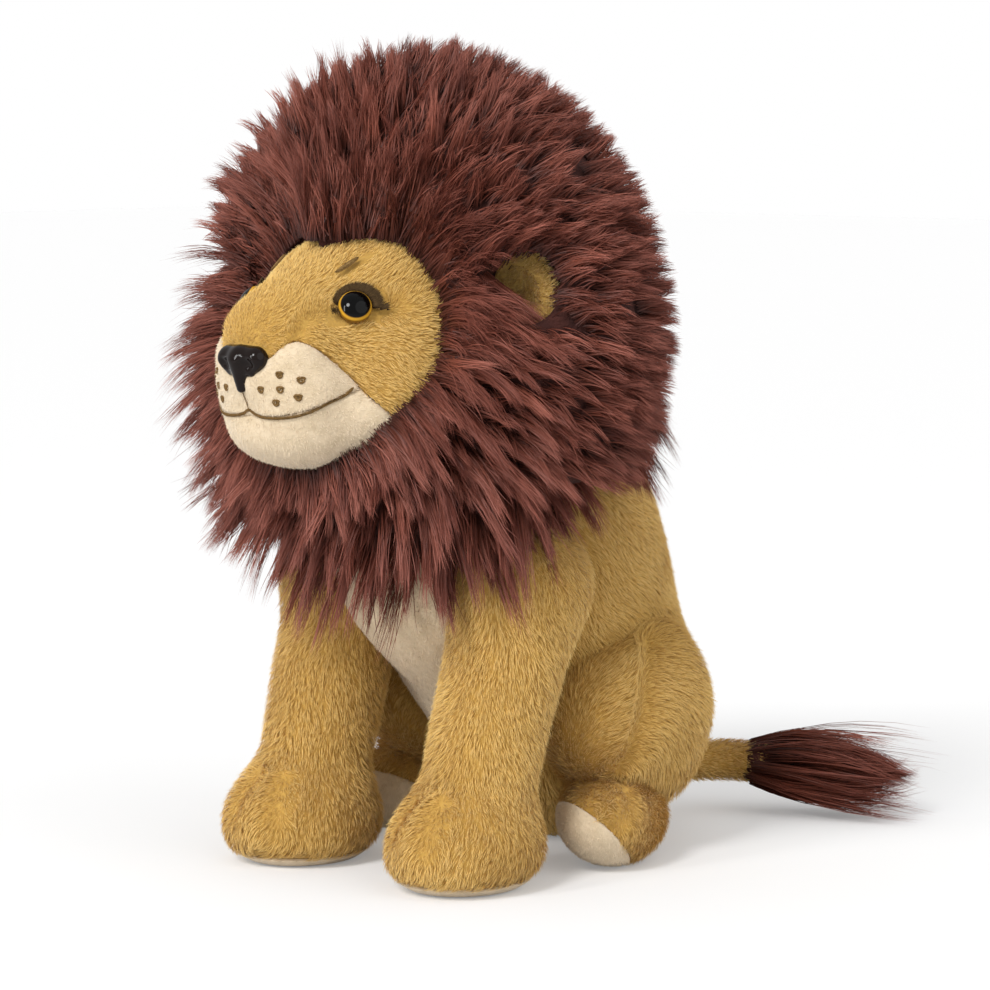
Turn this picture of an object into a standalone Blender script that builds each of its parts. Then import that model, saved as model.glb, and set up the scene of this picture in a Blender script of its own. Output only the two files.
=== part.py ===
"""A sitting plush lion about 300 mm tall, in metres, standing on z = 0.

The lion faces -Y, its left side is +X and +Z is up. The origin is the centre of the flat
base of its seat. Stuffed pieces are sewn skins, each with its own filling inside.
"""

import math

import bmesh
import bpy
import numpy as np
from mathutils import Matrix, Vector
from mathutils.bvhtree import BVHTree

# Fabric, seams and clearances
SKIN = 0.0018
GAP = 0.0003
SWIVEL_GAP = 0.0005
LEG_TO_BODY = 0.0012
FLAT_DEPTH = 0.0005
OVERRUN = 0.300
WELD = 0.00001

# Body
RUMP_RADII = (0.0530, 0.0510, 0.0520)
RUMP_MIDDLE_BACK = 0.0078
CHEST_RADII = (0.0500, 0.0560, 0.0580)
CHEST_FORWARD = 0.0300
CHEST_HEIGHT = 0.1060
BODY_BLEND = 0.0300
NECK_FORWARD = 0.0560
NECK_TOP_HEIGHT = 0.1760
NECK_RADIUS = 0.0440
NECK_ROOT_SHARE = 0.9
NECK_SLOPE_RUN = 0.0200
COLLAR_HEIGHT = 0.1480
COLLAR_DROP = 0.0080
COLLAR_RADIUS = 0.1400
NECK_HOLE_RADIUS = 0.0240
BELLY_PATCH_RADII = (0.0340, 0.0520, 0.0760)
BELLY_PATCH_FORWARD = 0.0820
BELLY_PATCH_HEIGHT = 0.0880

# Front legs
PAW_FORWARD = 0.1040
PAW_SPREAD = 0.0410
PAW_RADII = (0.0265, 0.0300, 0.0190)
SHOULDER_SPREAD = 0.0430
SHOULDER_FORWARD = 0.0750
SHOULDER_HEIGHT = 0.1080
SHOULDER_RADII = (0.0215, 0.0265, 0.0265)
UPPER_LEG_RADIUS = 0.0230
UPPER_LEG_HEIGHT = 0.1040
UPPER_LEG_FORWARD = 0.0770
ANKLE_RADIUS = 0.0205
ANKLE_HEIGHT = 0.0270
ANKLE_FORWARD = 0.1000
LEG_BLEND = 0.0120
SOLE_THICKNESS = 0.0035
LEG_SWING_DEG = 18.0

# Hind legs
THIGH_RADII = (0.0250, 0.0370, 0.0390)
THIGH_SPREAD = 0.0430
THIGH_FORWARD = 0.0130
THIGH_HEIGHT = 0.0540
THIGH_PITCH_DEG = 12.0
KNEE_RADII = (0.0210, 0.0260, 0.0220)
KNEE_SPREAD = 0.0460
KNEE_FORWARD = 0.0300
KNEE_HEIGHT = 0.0500
KNEE_BLEND = 0.0080
FOOT_RADII = (0.0200, 0.0330, 0.0175)
FOOT_SPREAD = 0.0500
FOOT_FORWARD = 0.0320
FOOT_HEIGHT = 0.0173
FOOT_HEADING_DEG = 24.0
FOOT_ROLL_DEG = 24.0
FOOT_SOLE_DEPTH = 0.0106
FOOT_SOLE_PITCH_DEG = -45.0
FOOT_SOLE_YAW_DEG = -22.0

# Tail
TAIL_RADIUS = 0.0072
TAIL_ROOT_BACK = 0.0350
TAIL_HEIGHT = 0.0195
TAIL_STRAIGHT = 0.0200
TAIL_BEND_RADIUS = 0.0300
TAIL_BEND_DEG = 68.0
TAIL_RUN = 0.0100
TAIL_ROOT_GAP = 0.0004
TAIL_SWING_DEG = 20.0
TUFT_LENGTH = 0.0660
TUFT_RADIUS = 0.0170
TUFT_RISE = 0.0010
TUFT_RADIUS_SHARES = (0.62, 0.86, 1.0, 0.93, 0.66, 0.30)
TUFT_LENGTH_SHARES = (0.0, 0.10, 0.30, 0.50, 0.74, 0.92)

# Head
HEAD_FORWARD = 0.1040
HEAD_HEIGHT = 0.1940
HEAD_RADII = (0.0480, 0.0470, 0.0465)
BRIDGE_RADII = (0.0235, 0.0310, 0.0205)
BRIDGE_FORWARD = 0.0380
BRIDGE_RISE = 0.0085
BRIDGE_PITCH_DEG = 14.0
MUZZLE_RADII = (0.0275, 0.0255, 0.0205)
MUZZLE_FORWARD = 0.0425
MUZZLE_DROP = 0.0130
JAW_RADII = (0.0245, 0.0250, 0.0130)
JAW_FORWARD = 0.0410
JAW_DROP = 0.0290
CHEEK_RADII = (0.0200, 0.0240, 0.0220)
CHEEK_SPREAD = 0.0240
CHEEK_FORWARD = 0.0180
CHEEK_DROP = 0.0140
HEAD_BLEND = 0.0110
LIP_EDGE_FORWARD = 0.0540
LIP_EDGE_RISE = 0.0040
LIP_EDGE_PITCH_DEG = 45.0
LIP_TOP_PITCH_DEG = -24.0
LIP_SEAM_FORWARD = 0.0700
LIP_SEAM_DROP = 0.0235
LIP_SEAM_PITCH_DEG = -22.0

# Eyes, eyelids and brows
EYE_SPREAD = 0.0250
EYE_RISE = 0.0160
EYE_RADIUS = 0.0060
EYE_DOME = 0.0036
EYE_RIM = 0.0008
STEM_RADIUS = 0.0018
STEM_LENGTH = 0.0120
WASHER_RADIUS = 0.0055
WASHER_THICKNESS = 0.0012
WASHER_DEPTH = 0.0052
LID_WIDTH = 0.0046
LID_THICKNESS = 0.0010
LID_START_DEG = -28.0
LID_END_DEG = 205.0
LID_END_SHARE = 0.25
THREAD_RADIUS = 0.0006
TRIM_LIFT = 0.0005
BROW_SPREAD = 0.0145
BROW_RISE = 0.0305
BROW_RUN = 0.0038

# Nose and mouth
NOSE_HALF_WIDTH = 0.0104
NOSE_HALF_HEIGHT = 0.0092
NOSE_HALF_DEPTH = 0.0068
NOSE_DROP = 0.0042
NOSE_WING_PLACE_SHARES = (0.42, 0.0, 0.22)
NOSE_WING_SIZE_SHARES = (0.58, 1.0, 0.66)
NOSE_TIP_PLACE_SHARES = (0.0, 0.0, -0.52)
NOSE_TIP_SIZE_SHARES = (0.40, 0.80, 0.52)
NOSE_BLEND = 0.0020
MOUTH_HALF_WIDTH = 0.0290
MOUTH_CORNER_DROP = 0.0115
MOUTH_DIP_DROP = 0.0220
MOUTH_PEAK = 0.0025
MOUTH_PEAK_WIDTH = 0.0050
MOUTH_STEPS = 18
PHILTRUM_TOP_DROP = 0.0135

# Ears
EAR_HALF_WIDTH = 0.0150
EAR_TALL = 0.0270
EAR_THICKNESS = 0.0060
EAR_DISH = 0.0022
EAR_OUT_DEG = 68.0
EAR_BACK_DEG = 8.0
EAR_SPLAY_DEG = 14.0
EAR_BACK_FOLD_DEG = 15.0
EAR_NOTCH_DEG = 58.0
EAR_NOTCH_REACH = 0.1200
EAR_ROOM = 0.0010

# Mane
MANE_RADII = (0.0980, 0.0660, 0.1000)
MANE_FORWARD = 0.0820
MANE_HEIGHT = 0.2000
MANE_LOCK = 0.0035
MANE_WAVES = 12
FACE_HALF_WIDTH = 0.0460
FACE_HALF_HEIGHT = 0.0430
FACE_DROP = 0.0030
FACE_SETBACK = 0.0120
FACE_FLARE_DEG = 46.0
CROWN_HALF_DEG = 46.0
NAPE_BACK = 0.0450
BIB_RADII = (0.0880, 0.0600, 0.0640)
BIB_FORWARD = 0.0940
BIB_HEIGHT = 0.1500

# Colours, linear
GOLD_COLOUR = (0.55, 0.33, 0.09)
CREAM_COLOUR = (0.74, 0.60, 0.42)
MANE_COLOUR = (0.13, 0.035, 0.022)
EYE_COLOUR = (0.012, 0.008, 0.007)
THREAD_COLOUR = (0.16, 0.08, 0.025)
LID_COLOUR = (0.12, 0.07, 0.03)
FIBRE_COLOUR = (0.85, 0.85, 0.83)
WASHER_COLOUR = (0.75, 0.75, 0.72)
PLUSH_ROUGHNESS = 0.9
HAIR_ROUGHNESS = 0.7
FIBRE_ROUGHNESS = 1.0
GLOSS_ROUGHNESS = 0.1
MATT_ROUGHNESS = 0.5

# Mesh counts
ROUND = 16
HEAD_ROUND = 20
NECK_ROUND = 20
SMALL_ROUND = 12
FINE_ROUND = 8
ROOM_ROUND = 36
SOCKET_ROUND = 24
FEW_CAPS = 3
CAPS = 4
FINE_CAPS = 5
ROOM_CAPS = 7
HEAD_RINGS = 1
LEG_RINGS = 2
BODY_RINGS = 2
TAIL_STATIONS = 9
DOME_STEPS = 5
LID_STEPS = 12
LID_ROWS = 3
BROW_STEPS = 5
PHILTRUM_STEPS = 7
THREAD_SIDES = 5
SWING_STEPS = 6
FINE_STEPS = 44
TWO_ENDS = 2
SHARP_DEG = 50.0
FORM_REACH = 0.200
TINY = 1e-9
SLIGHT_SHARE = 0.1


def clear_scene():
    for item in list(bpy.data.objects):
        bpy.data.objects.remove(item, do_unlink=True)


def material(name, colour, roughness):
    """A plain Principled material, made once for each name."""
    found = bpy.data.materials.get(name)
    if found:
        return found
    made = bpy.data.materials.new(name)
    made.use_nodes = True
    shader = made.node_tree.nodes["Principled BSDF"]
    shader.inputs["Base Color"].default_value = (*colour, 1.0)
    shader.inputs["Roughness"].default_value = roughness
    shader.inputs["Metallic"].default_value = 0.0
    return made


def gold_plush():
    return material("gold_plush", GOLD_COLOUR, PLUSH_ROUGHNESS)


def cream_plush():
    return material("cream_plush", CREAM_COLOUR, PLUSH_ROUGHNESS)


def mane_pile():
    return material("mane_pile", MANE_COLOUR, HAIR_ROUGHNESS)


def fibre_fill():
    return material("fibre_fill", FIBRE_COLOUR, FIBRE_ROUGHNESS)


def dark_plastic():
    return material("dark_plastic", EYE_COLOUR, GLOSS_ROUGHNESS)


def washer_plastic():
    return material("washer_plastic", WASHER_COLOUR, MATT_ROUGHNESS)


def brown_thread():
    return material("brown_thread", THREAD_COLOUR, HAIR_ROUGHNESS)


def lid_plush():
    return material("lid_plush", LID_COLOUR, PLUSH_ROUGHNESS)


# Mesh tools


def new_piece(name, points, faces, finish=None):
    mesh = bpy.data.meshes.new(name)
    mesh.from_pydata([tuple(point) for point in points], [], faces)
    piece = bpy.data.objects.new(name, mesh)
    bpy.context.collection.objects.link(piece)
    if finish:
        mesh.materials.append(finish)
    return piece


def tidy_mesh(piece, outward=False):
    """Weld stray doubles, leave only triangles, and turn a plain solid's faces outward."""
    edit = bmesh.new()
    edit.from_mesh(piece.data)
    bmesh.ops.remove_doubles(edit, verts=edit.verts, dist=WELD)
    bmesh.ops.dissolve_degenerate(edit, edges=edit.edges, dist=WELD)
    bmesh.ops.triangulate(edit, faces=edit.faces)
    if outward:
        bmesh.ops.recalc_face_normals(edit, faces=edit.faces)
    edit.to_mesh(piece.data)
    edit.free()


def drop(*pieces):
    for piece in pieces:
        bpy.data.objects.remove(piece, do_unlink=True)


def combine(piece, other, operation):
    """Apply one Boolean to piece and keep other."""
    cut = piece.modifiers.new("Cut", "BOOLEAN")
    cut.solver = "EXACT"
    cut.operation = operation
    cut.object = other
    depsgraph = bpy.context.evaluated_depsgraph_get()
    result = bpy.data.meshes.new_from_object(piece.evaluated_get(depsgraph))
    piece.modifiers.clear()
    piece.data = result
    tidy_mesh(piece)
    return piece


def minus(piece, *cutters):
    for cutter in cutters:
        combine(piece, cutter, "DIFFERENCE")
    return piece


def within(piece, region):
    return combine(piece, region, "INTERSECT")


def joined(piece, *others):
    for other in others:
        combine(piece, other, "UNION")
        drop(other)
    return piece


def copy_of(piece, name):
    twin = piece.copy()
    twin.data = piece.data.copy()
    twin.name = name
    bpy.context.collection.objects.link(twin)
    return twin


def mirrored(piece, name):
    """The same solid on the other side of the lion."""
    twin = copy_of(piece, name)
    twin.data.name = name
    twin.data.transform(Matrix.Diagonal((-1.0, 1.0, 1.0, 1.0)))
    twin.data.flip_normals()
    return twin


def both_sides(pieces):
    """Give each left piece its right twin: the names hold the word left."""
    for piece in pieces:
        mirrored(piece, piece.name.replace("left", "right"))


def finished(piece, name, finish):
    """Name a solid, give it one material and shade it smooth where it is round."""
    piece.name = name
    piece.data.name = name
    piece.data.materials.clear()
    piece.data.materials.append(finish)
    piece.data.shade_smooth()
    piece.data.set_sharp_from_angle(angle=math.radians(SHARP_DEG))
    return piece


def turn(pitch=0.0, yaw=0.0, roll=0.0):
    """Rotation about X, then Y, then Z, in degrees."""
    about_x = Matrix.Rotation(math.radians(pitch), 3, "X")
    about_y = Matrix.Rotation(math.radians(roll), 3, "Y")
    about_z = Matrix.Rotation(math.radians(yaw), 3, "Z")
    return np.array(about_z @ about_y @ about_x)


def box(centre, half_sizes, rotation=None):
    """A box cutter."""
    corners = [(x, y, z) for x in (-1.0, 1.0) for y in (-1.0, 1.0) for z in (-1.0, 1.0)]
    points = np.array(corners) * np.array(half_sizes)
    if rotation is not None:
        points = points @ rotation.T
    faces = [(0, 1, 3, 2), (4, 6, 7, 5), (0, 4, 5, 1), (2, 3, 7, 6), (0, 2, 6, 4), (1, 5, 7, 3)]
    return new_piece("box", points + np.array(centre), faces)


def half_space(point, normal):
    """A large box whose one face passes through point and faces along normal."""
    axis = Vector(normal).normalized()
    frame = np.array(axis.to_track_quat("Z", "Y").to_matrix())
    centre = np.array(point) - np.array(axis) * OVERRUN
    return box(centre, (OVERRUN, OVERRUN, OVERRUN), frame)


def turned_solid(profile, segments, origin=(0.0, 0.0, 0.0), axis=(0.0, 0.0, 1.0)):
    """A lathe solid from (radius, height) points that start and end on the axis."""
    frame = np.array(Vector(axis).to_track_quat("Z", "Y").to_matrix())
    points = [(0.0, 0.0, profile[0][1])]
    for radius, height in profile[1:-1]:
        for step in range(segments):
            angle = 2.0 * math.pi * step / segments
            points.append((radius * math.cos(angle), radius * math.sin(angle), height))
    points.append((0.0, 0.0, profile[-1][1]))
    faces = ring_faces(len(profile) - TWO_ENDS, segments)
    placed = np.array(points) @ frame.T + np.array(origin)
    piece = new_piece("turned", placed, faces)
    tidy_mesh(piece, outward=True)
    return piece


def ring_faces(rings, segments):
    """Faces of a pole, some rings of points and a second pole."""
    faces = []
    last = 1 + rings * segments
    for step in range(segments):
        after = (step + 1) % segments
        faces.append((0, 1 + after, 1 + step))
        top = 1 + (rings - 1) * segments
        faces.append((last, top + step, top + after))
    for ring in range(rings - 1):
        low = 1 + ring * segments
        high = low + segments
        for step in range(segments):
            after = (step + 1) % segments
            faces.append((low + step, low + after, high + after, high + step))
    return faces


# Rounded forms, as the zero surface of a distance field


def ellipsoid(points, centre, radii, rotation=None):
    local = points - np.array(centre)
    if rotation is not None:
        local = local @ rotation
    radii = np.array(radii)
    scaled = np.linalg.norm(local / radii, axis=-1)
    slope = np.linalg.norm(local / radii**2, axis=-1)
    return scaled * (scaled - 1.0) / np.maximum(slope, TINY)


def limb(points, start, end, start_radius, end_radius):
    """A round bar from start to end that tapers from one radius to the other."""
    start = np.array(start)
    along = np.array(end) - start
    share = np.clip((points - start) @ along / (along @ along), 0.0, 1.0)
    nearest = start + share[..., None] * along
    radius = start_radius + share * (end_radius - start_radius)
    return np.linalg.norm(points - nearest, axis=-1) - radius


def blended(fields, width):
    """The union of several fields with a fillet about as wide as width."""
    total = fields[0]
    for other in fields[1:]:
        mix = np.clip(0.5 + 0.5 * (total - other) / width, 0.0, 1.0)
        total = total + (other - total) * mix - width * mix * (1.0 - mix)
    return total


def surface_distance(field, starts, directions, inset, reach):
    """How far along each direction the field's surface, moved in by inset, lies."""
    near = np.zeros(len(starts))
    far = np.full(len(starts), reach)
    for _ in range(FINE_STEPS):
        middle = 0.5 * (near + far)
        inside = field(starts + directions * middle[:, None]) < -inset
        near = np.where(inside, middle, near)
        far = np.where(inside, far, middle)
    return 0.5 * (near + far)


def form(field, spine, segments, caps, rings=0, inset=0.0, reach=FORM_REACH):
    """A closed mesh of a field's surface, found along rays that leave a straight spine."""
    low, high = np.array(spine[0]), np.array(spine[1])
    axis = np.array(spine[2]) if len(spine) > 2 else (high - low) / np.linalg.norm(high - low)
    frame = np.array(Vector(axis).to_track_quat("Z", "Y").to_matrix())
    levels = [(low, -90.0 + 90.0 * step / caps) for step in range(caps)]
    levels += [(low + (high - low) * step / (rings + 1), 0.0) for step in range(rings + 2)]
    levels += [(high, 90.0 * step / caps) for step in range(1, caps + 1)]
    if rings == 0 and np.allclose(low, high):
        levels.pop(caps)
    starts, directions = [], []
    for index, (place, tilt) in enumerate(levels):
        around = 1 if index in (0, len(levels) - 1) else segments
        for step in range(around):
            angle = 2.0 * math.pi * step / segments
            flat = math.cos(math.radians(tilt))
            ray = (flat * math.cos(angle), flat * math.sin(angle), math.sin(math.radians(tilt)))
            starts.append(place)
            directions.append(frame @ np.array(ray))
    starts, directions = np.array(starts), np.array(directions)
    distance = surface_distance(field, starts, directions, inset, reach)
    faces = ring_faces(len(levels) - TWO_ENDS, segments)
    piece = new_piece("form", starts + directions * distance[:, None], faces)
    tidy_mesh(piece, outward=True)
    return piece


def surface_point(field, start, direction, inset=0.0):
    """The point where a ray from inside a field meets its surface, moved in by inset."""
    start = np.array([start], float)
    direction = np.array([direction], float)
    direction /= np.linalg.norm(direction)
    return (start + direction * surface_distance(field, start, direction, inset, OVERRUN))[0]


def surface_normal(field, point):
    steps = np.eye(3) * SKIN
    slopes = field(np.array(point) + steps) - field(np.array(point) - steps)
    return slopes / np.linalg.norm(slopes)


def tube(path, radii, sides):
    """A closed round tube along a path, with a pole at each end."""
    path = np.array(path, float)
    tangents = np.gradient(path, axis=0)
    tangents /= np.maximum(np.linalg.norm(tangents, axis=1), WELD)[:, None]
    across = np.cross(tangents[0], (0.0, 0.0, 1.0))
    if np.linalg.norm(across) < SLIGHT_SHARE:
        across = np.array((1.0, 0.0, 0.0))
    points = [path[0]]
    for place, tangent, radius in zip(path[1:-1], tangents[1:-1], radii[1:-1]):
        across = across - tangent * (across @ tangent)
        across /= np.linalg.norm(across)
        other = np.cross(tangent, across)
        for step in range(sides):
            angle = 2.0 * math.pi * step / sides
            points.append(place + radius * (math.cos(angle) * across + math.sin(angle) * other))
    points.append(path[-1])
    piece = new_piece("tube", points, ring_faces(len(path) - TWO_ENDS, sides))
    tidy_mesh(piece, outward=True)
    return piece


def floor_cut():
    return half_space((0.0, 0.0, 0.0), (0.0, 0.0, 1.0))


# The shared surface that the head turns on: a neck plug and a nearly flat collar


def neck_region(grow):
    """All that lies below the neck surface, raised by grow."""
    top = NECK_TOP_HEIGHT + grow
    plug = NECK_RADIUS + grow
    outer = NECK_RADIUS + NECK_SLOPE_RUN + grow
    collar = COLLAR_HEIGHT + grow
    shoulder = COLLAR_HEIGHT + (NECK_TOP_HEIGHT - COLLAR_HEIGHT) / 2.0 + grow
    profile = [
        (0.0, -OVERRUN),
        (COLLAR_RADIUS, -OVERRUN),
        (COLLAR_RADIUS, collar - COLLAR_DROP),
        (outer, collar),
        (plug, shoulder),
        (plug / 2.0, top),
        (0.0, top),
    ]
    return turned_solid(profile, NECK_ROUND, (0.0, -NECK_FORWARD, 0.0))


# Body


def body_field(points):
    rump = ellipsoid(points, (0.0, 0.0, RUMP_RADII[2] - FLAT_DEPTH), RUMP_RADII)
    chest = ellipsoid(points, (0.0, -CHEST_FORWARD, CHEST_HEIGHT), CHEST_RADII)
    neck = limb(
        points,
        (0.0, -CHEST_FORWARD, CHEST_HEIGHT),
        (0.0, -NECK_FORWARD, NECK_TOP_HEIGHT),
        CHEST_RADII[0] * NECK_ROOT_SHARE,
        NECK_RADIUS,
    )
    return blended([rump, chest, neck], BODY_BLEND)


def shoulder_place():
    return np.array((SHOULDER_SPREAD, -SHOULDER_FORWARD, SHOULDER_HEIGHT))


def shoulder_form(inset, segments=SMALL_ROUND):
    """The turning top of the left front leg, round about the swing axis."""
    centre = shoulder_place()

    def field(points):
        return ellipsoid(points, centre, SHOULDER_RADII)

    return form(field, (centre, centre, (1.0, 0.0, 0.0)), segments, FEW_CAPS, inset=inset)


def body_spine():
    return (0.0, RUMP_MIDDLE_BACK, RUMP_RADII[2]), (0.0, -CHEST_FORWARD, CHEST_HEIGHT)


def plain_body(inset):
    """The body's outer form before anything is cut from it."""
    return form(body_field, body_spine(), ROUND, CAPS, BODY_RINGS, inset=inset)


def leg_swings(way):
    """Turns about X from rest to a front leg's forward limit, with way -1, or back again."""
    return [turn(pitch=way * LEG_SWING_DEG * step / SWING_STEPS) for step in range(SWING_STEPS + 1)]


def body_beside_leg(inset):
    """All of the body that the left front leg meets on its swing, as seen from the leg."""
    pivot = shoulder_place()
    turns = leg_swings(-1.0)

    def field(points):
        return np.minimum.reduce([body_field((points - pivot) @ swing.T + pivot) for swing in turns])

    return form(field, body_spine(), ROUND, CAPS, BODY_RINGS, inset=inset)


def tail_socket(grow):
    """The round socket of the tail's root, flared so that the tail can swing."""
    swing = math.radians(TAIL_SWING_DEG)
    centre = np.array((0.0, TAIL_ROOT_BACK, TAIL_HEIGHT))
    mouth = centre + np.array((0.0, TAIL_STRAIGHT, 0.0))
    radius = TAIL_RADIUS / math.cos(swing) + grow
    mouth_radius = radius + TAIL_STRAIGHT * math.tan(swing)

    def field(points):
        return limb(points, centre, mouth, radius, mouth_radius)

    return form(field, (centre, mouth), FINE_ROUND, FEW_CAPS)


def body_form(inset):
    piece = plain_body(inset)
    floor = floor_cut()
    floor.data.transform(Matrix.Translation((0.0, 0.0, max(inset, 0.0))))
    minus(piece, floor)
    neck = neck_region(-GAP - inset)
    within(piece, neck)
    drop(floor, neck)
    socket = shoulder_form(-SWIVEL_GAP - max(inset, 0.0), SOCKET_ROUND)
    other = mirrored(socket, "socket")
    tail = tail_socket(TAIL_ROOT_GAP + max(inset, 0.0))
    minus(piece, socket, other, tail)
    drop(socket, other, tail)
    return piece


def belly_patch(grow):
    centre = (0.0, -BELLY_PATCH_FORWARD, BELLY_PATCH_HEIGHT)

    def field(points):
        return ellipsoid(points, centre, BELLY_PATCH_RADII)

    return form(field, (centre, centre, (0.0, 0.0, 1.0)), SMALL_ROUND, FINE_CAPS, inset=-grow)


def make_body():
    skin = body_form(0.0)
    hollow = body_form(SKIN)
    neck_hole = turned_solid(
        [(0.0, CHEST_HEIGHT), (NECK_HOLE_RADIUS, CHEST_HEIGHT), (NECK_HOLE_RADIUS, OVERRUN), (0.0, OVERRUN)],
        SMALL_ROUND,
        (0.0, -NECK_FORWARD, 0.0),
    )
    minus(skin, hollow, neck_hole)
    patch_area, seam_area = belly_patch(0.0), belly_patch(GAP)
    patch = within(copy_of(skin, "belly_panel"), patch_area)
    minus(skin, seam_area)
    filling = body_form(SKIN + GAP)
    finished(skin, "body_skin", gold_plush())
    finished(patch, "belly_panel", cream_plush())
    finished(filling, "body_filling", fibre_fill())
    drop(hollow, neck_hole, patch_area, seam_area)


# Front legs


def front_leg_field(points):
    upper = (SHOULDER_SPREAD, -UPPER_LEG_FORWARD, UPPER_LEG_HEIGHT)
    ankle = (PAW_SPREAD, -ANKLE_FORWARD, ANKLE_HEIGHT)
    paw = (PAW_SPREAD, -PAW_FORWARD, PAW_RADII[2] - FLAT_DEPTH)
    shaft = limb(points, upper, ankle, UPPER_LEG_RADIUS, ANKLE_RADIUS)
    return blended([shaft, ellipsoid(points, paw, PAW_RADII)], LEG_BLEND)


def leg_spine():
    low = (PAW_SPREAD, -ANKLE_FORWARD, PAW_RADII[2])
    high = (SHOULDER_SPREAD, -UPPER_LEG_FORWARD, UPPER_LEG_HEIGHT)
    return low, high


def front_leg_form(inset):
    """A left leg from shoulder to floor, clear of the body over its whole swing."""
    piece = form(front_leg_field, leg_spine(), SMALL_ROUND, FEW_CAPS, LEG_RINGS, inset=inset)
    body = body_beside_leg(-LEG_TO_BODY - inset)
    minus(piece, body)
    drop(body)
    return joined(piece, shoulder_form(inset))


def make_front_legs():
    skin = front_leg_form(0.0)
    hollow = front_leg_form(SKIN)
    filling = front_leg_form(SKIN + GAP)
    floor = floor_cut()
    sole_area = half_space((0.0, 0.0, SOLE_THICKNESS), (0.0, 0.0, 1.0))
    seam_area = half_space((0.0, 0.0, SOLE_THICKNESS + GAP), (0.0, 0.0, 1.0))
    minus(skin, floor)
    sole = within(copy_of(skin, "sole"), sole_area)
    minus(skin, seam_area, hollow)
    minus(filling, seam_area)
    finished(skin, "front_leg_left_skin", gold_plush())
    finished(sole, "front_sole_left", cream_plush())
    finished(filling, "front_leg_left_filling", fibre_fill())
    both_sides([skin, sole, filling])
    drop(hollow, floor, sole_area, seam_area)


# Hind legs


def thigh_centre():
    return np.array((THIGH_SPREAD, -THIGH_FORWARD, THIGH_HEIGHT))


def thigh_field(points):
    thigh = ellipsoid(points, thigh_centre(), THIGH_RADII, turn(pitch=THIGH_PITCH_DEG))
    knee = ellipsoid(points, (KNEE_SPREAD, -KNEE_FORWARD, KNEE_HEIGHT), KNEE_RADII)
    return blended([thigh, knee], KNEE_BLEND)


def thigh_form(inset):
    spine = (thigh_centre(), thigh_centre(), (1.0, 0.0, 0.0))
    return form(thigh_field, spine, SMALL_ROUND, FEW_CAPS, inset=inset)


def foot_turn():
    return turn(yaw=FOOT_HEADING_DEG, roll=FOOT_ROLL_DEG)


def foot_centre():
    return np.array((FOOT_SPREAD, -FOOT_FORWARD, FOOT_HEIGHT))


def foot_field(points):
    return ellipsoid(points, foot_centre(), FOOT_RADII, foot_turn())


def foot_form(inset):
    axis = foot_turn() @ np.array((0.0, 1.0, 0.0))
    return form(foot_field, (foot_centre(), foot_centre(), axis), SMALL_ROUND, CAPS, inset=inset)


def foot_sole_side(depth):
    """All that lies on the sole side of a foot's seam plane, moved toward the sole by depth."""
    down = turn(pitch=FOOT_SOLE_PITCH_DEG, yaw=FOOT_SOLE_YAW_DEG) @ np.array((0.0, 0.0, -1.0))
    point = foot_centre() + down * (FOOT_SOLE_DEPTH + depth)
    return half_space(point, -down)


def make_hind_legs():
    body = plain_body(-GAP)
    thigh = minus(thigh_form(0.0), body)
    thigh_hollow = thigh_form(SKIN)
    thigh_filling = minus(thigh_form(SKIN + GAP), body)
    minus(thigh, thigh_hollow)
    grown_thigh = thigh_form(-GAP)
    floor = floor_cut()
    foot = minus(foot_form(0.0), body, grown_thigh, floor)
    foot_hollow = foot_form(SKIN)
    foot_filling = minus(foot_form(SKIN + GAP), body, grown_thigh)
    sole_area = foot_sole_side(0.0)
    seam_area = foot_sole_side(-GAP)
    sole = within(copy_of(foot, "sole"), sole_area)
    minus(foot, seam_area, foot_hollow)
    minus(foot_filling, seam_area)
    finished(thigh, "thigh_left_skin", gold_plush())
    finished(thigh_filling, "thigh_left_filling", fibre_fill())
    finished(foot, "hind_foot_left_skin", gold_plush())
    finished(foot_filling, "hind_foot_left_filling", fibre_fill())
    finished(sole, "hind_sole_left", cream_plush())
    both_sides([thigh, thigh_filling, foot, foot_filling, sole])
    drop(body, thigh_hollow, grown_thigh, foot_hollow, floor, sole_area, seam_area)


# Tail


def tail_place(distance):
    """A point of the tail's middle line, this far from its root, and the way it heads."""
    start = np.array((0.0, TAIL_ROOT_BACK, TAIL_HEIGHT))
    if distance <= TAIL_STRAIGHT:
        return start + np.array((0.0, distance, 0.0)), np.array((0.0, 1.0, 0.0))
    bend = math.radians(TAIL_BEND_DEG)
    angle = min((distance - TAIL_STRAIGHT) / TAIL_BEND_RADIUS, bend)
    side = TAIL_BEND_RADIUS * (1.0 - math.cos(angle))
    back = TAIL_STRAIGHT + TAIL_BEND_RADIUS * math.sin(angle)
    heading = np.array((math.sin(angle), math.cos(angle), 0.0))
    rest = max(distance - TAIL_STRAIGHT - bend * TAIL_BEND_RADIUS, 0.0)
    return start + np.array((side, back, 0.0)) + heading * rest, heading


def tail_length():
    return TAIL_STRAIGHT + math.radians(TAIL_BEND_DEG) * TAIL_BEND_RADIUS + TAIL_RUN


def tail_form(inset, overrun=0.0):
    """The tail from its ball root to a flat end, which can run past the tail's own end."""
    radius = TAIL_RADIUS - inset
    tilts = [math.radians(90.0 - 90.0 * step / FEW_CAPS) for step in range(FEW_CAPS)]
    places = list(np.linspace(0.0, tail_length(), TAIL_STATIONS))
    if overrun:
        places.append(tail_length() + overrun)
    stations = [-radius * math.sin(tilt) for tilt in tilts] + places
    radii = [radius * math.cos(tilt) for tilt in tilts] + [radius] * len(places)
    path = [tail_place(distance)[0] for distance in stations]
    return tube(path + [path[-1]], radii + [0.0], FINE_ROUND)


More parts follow.
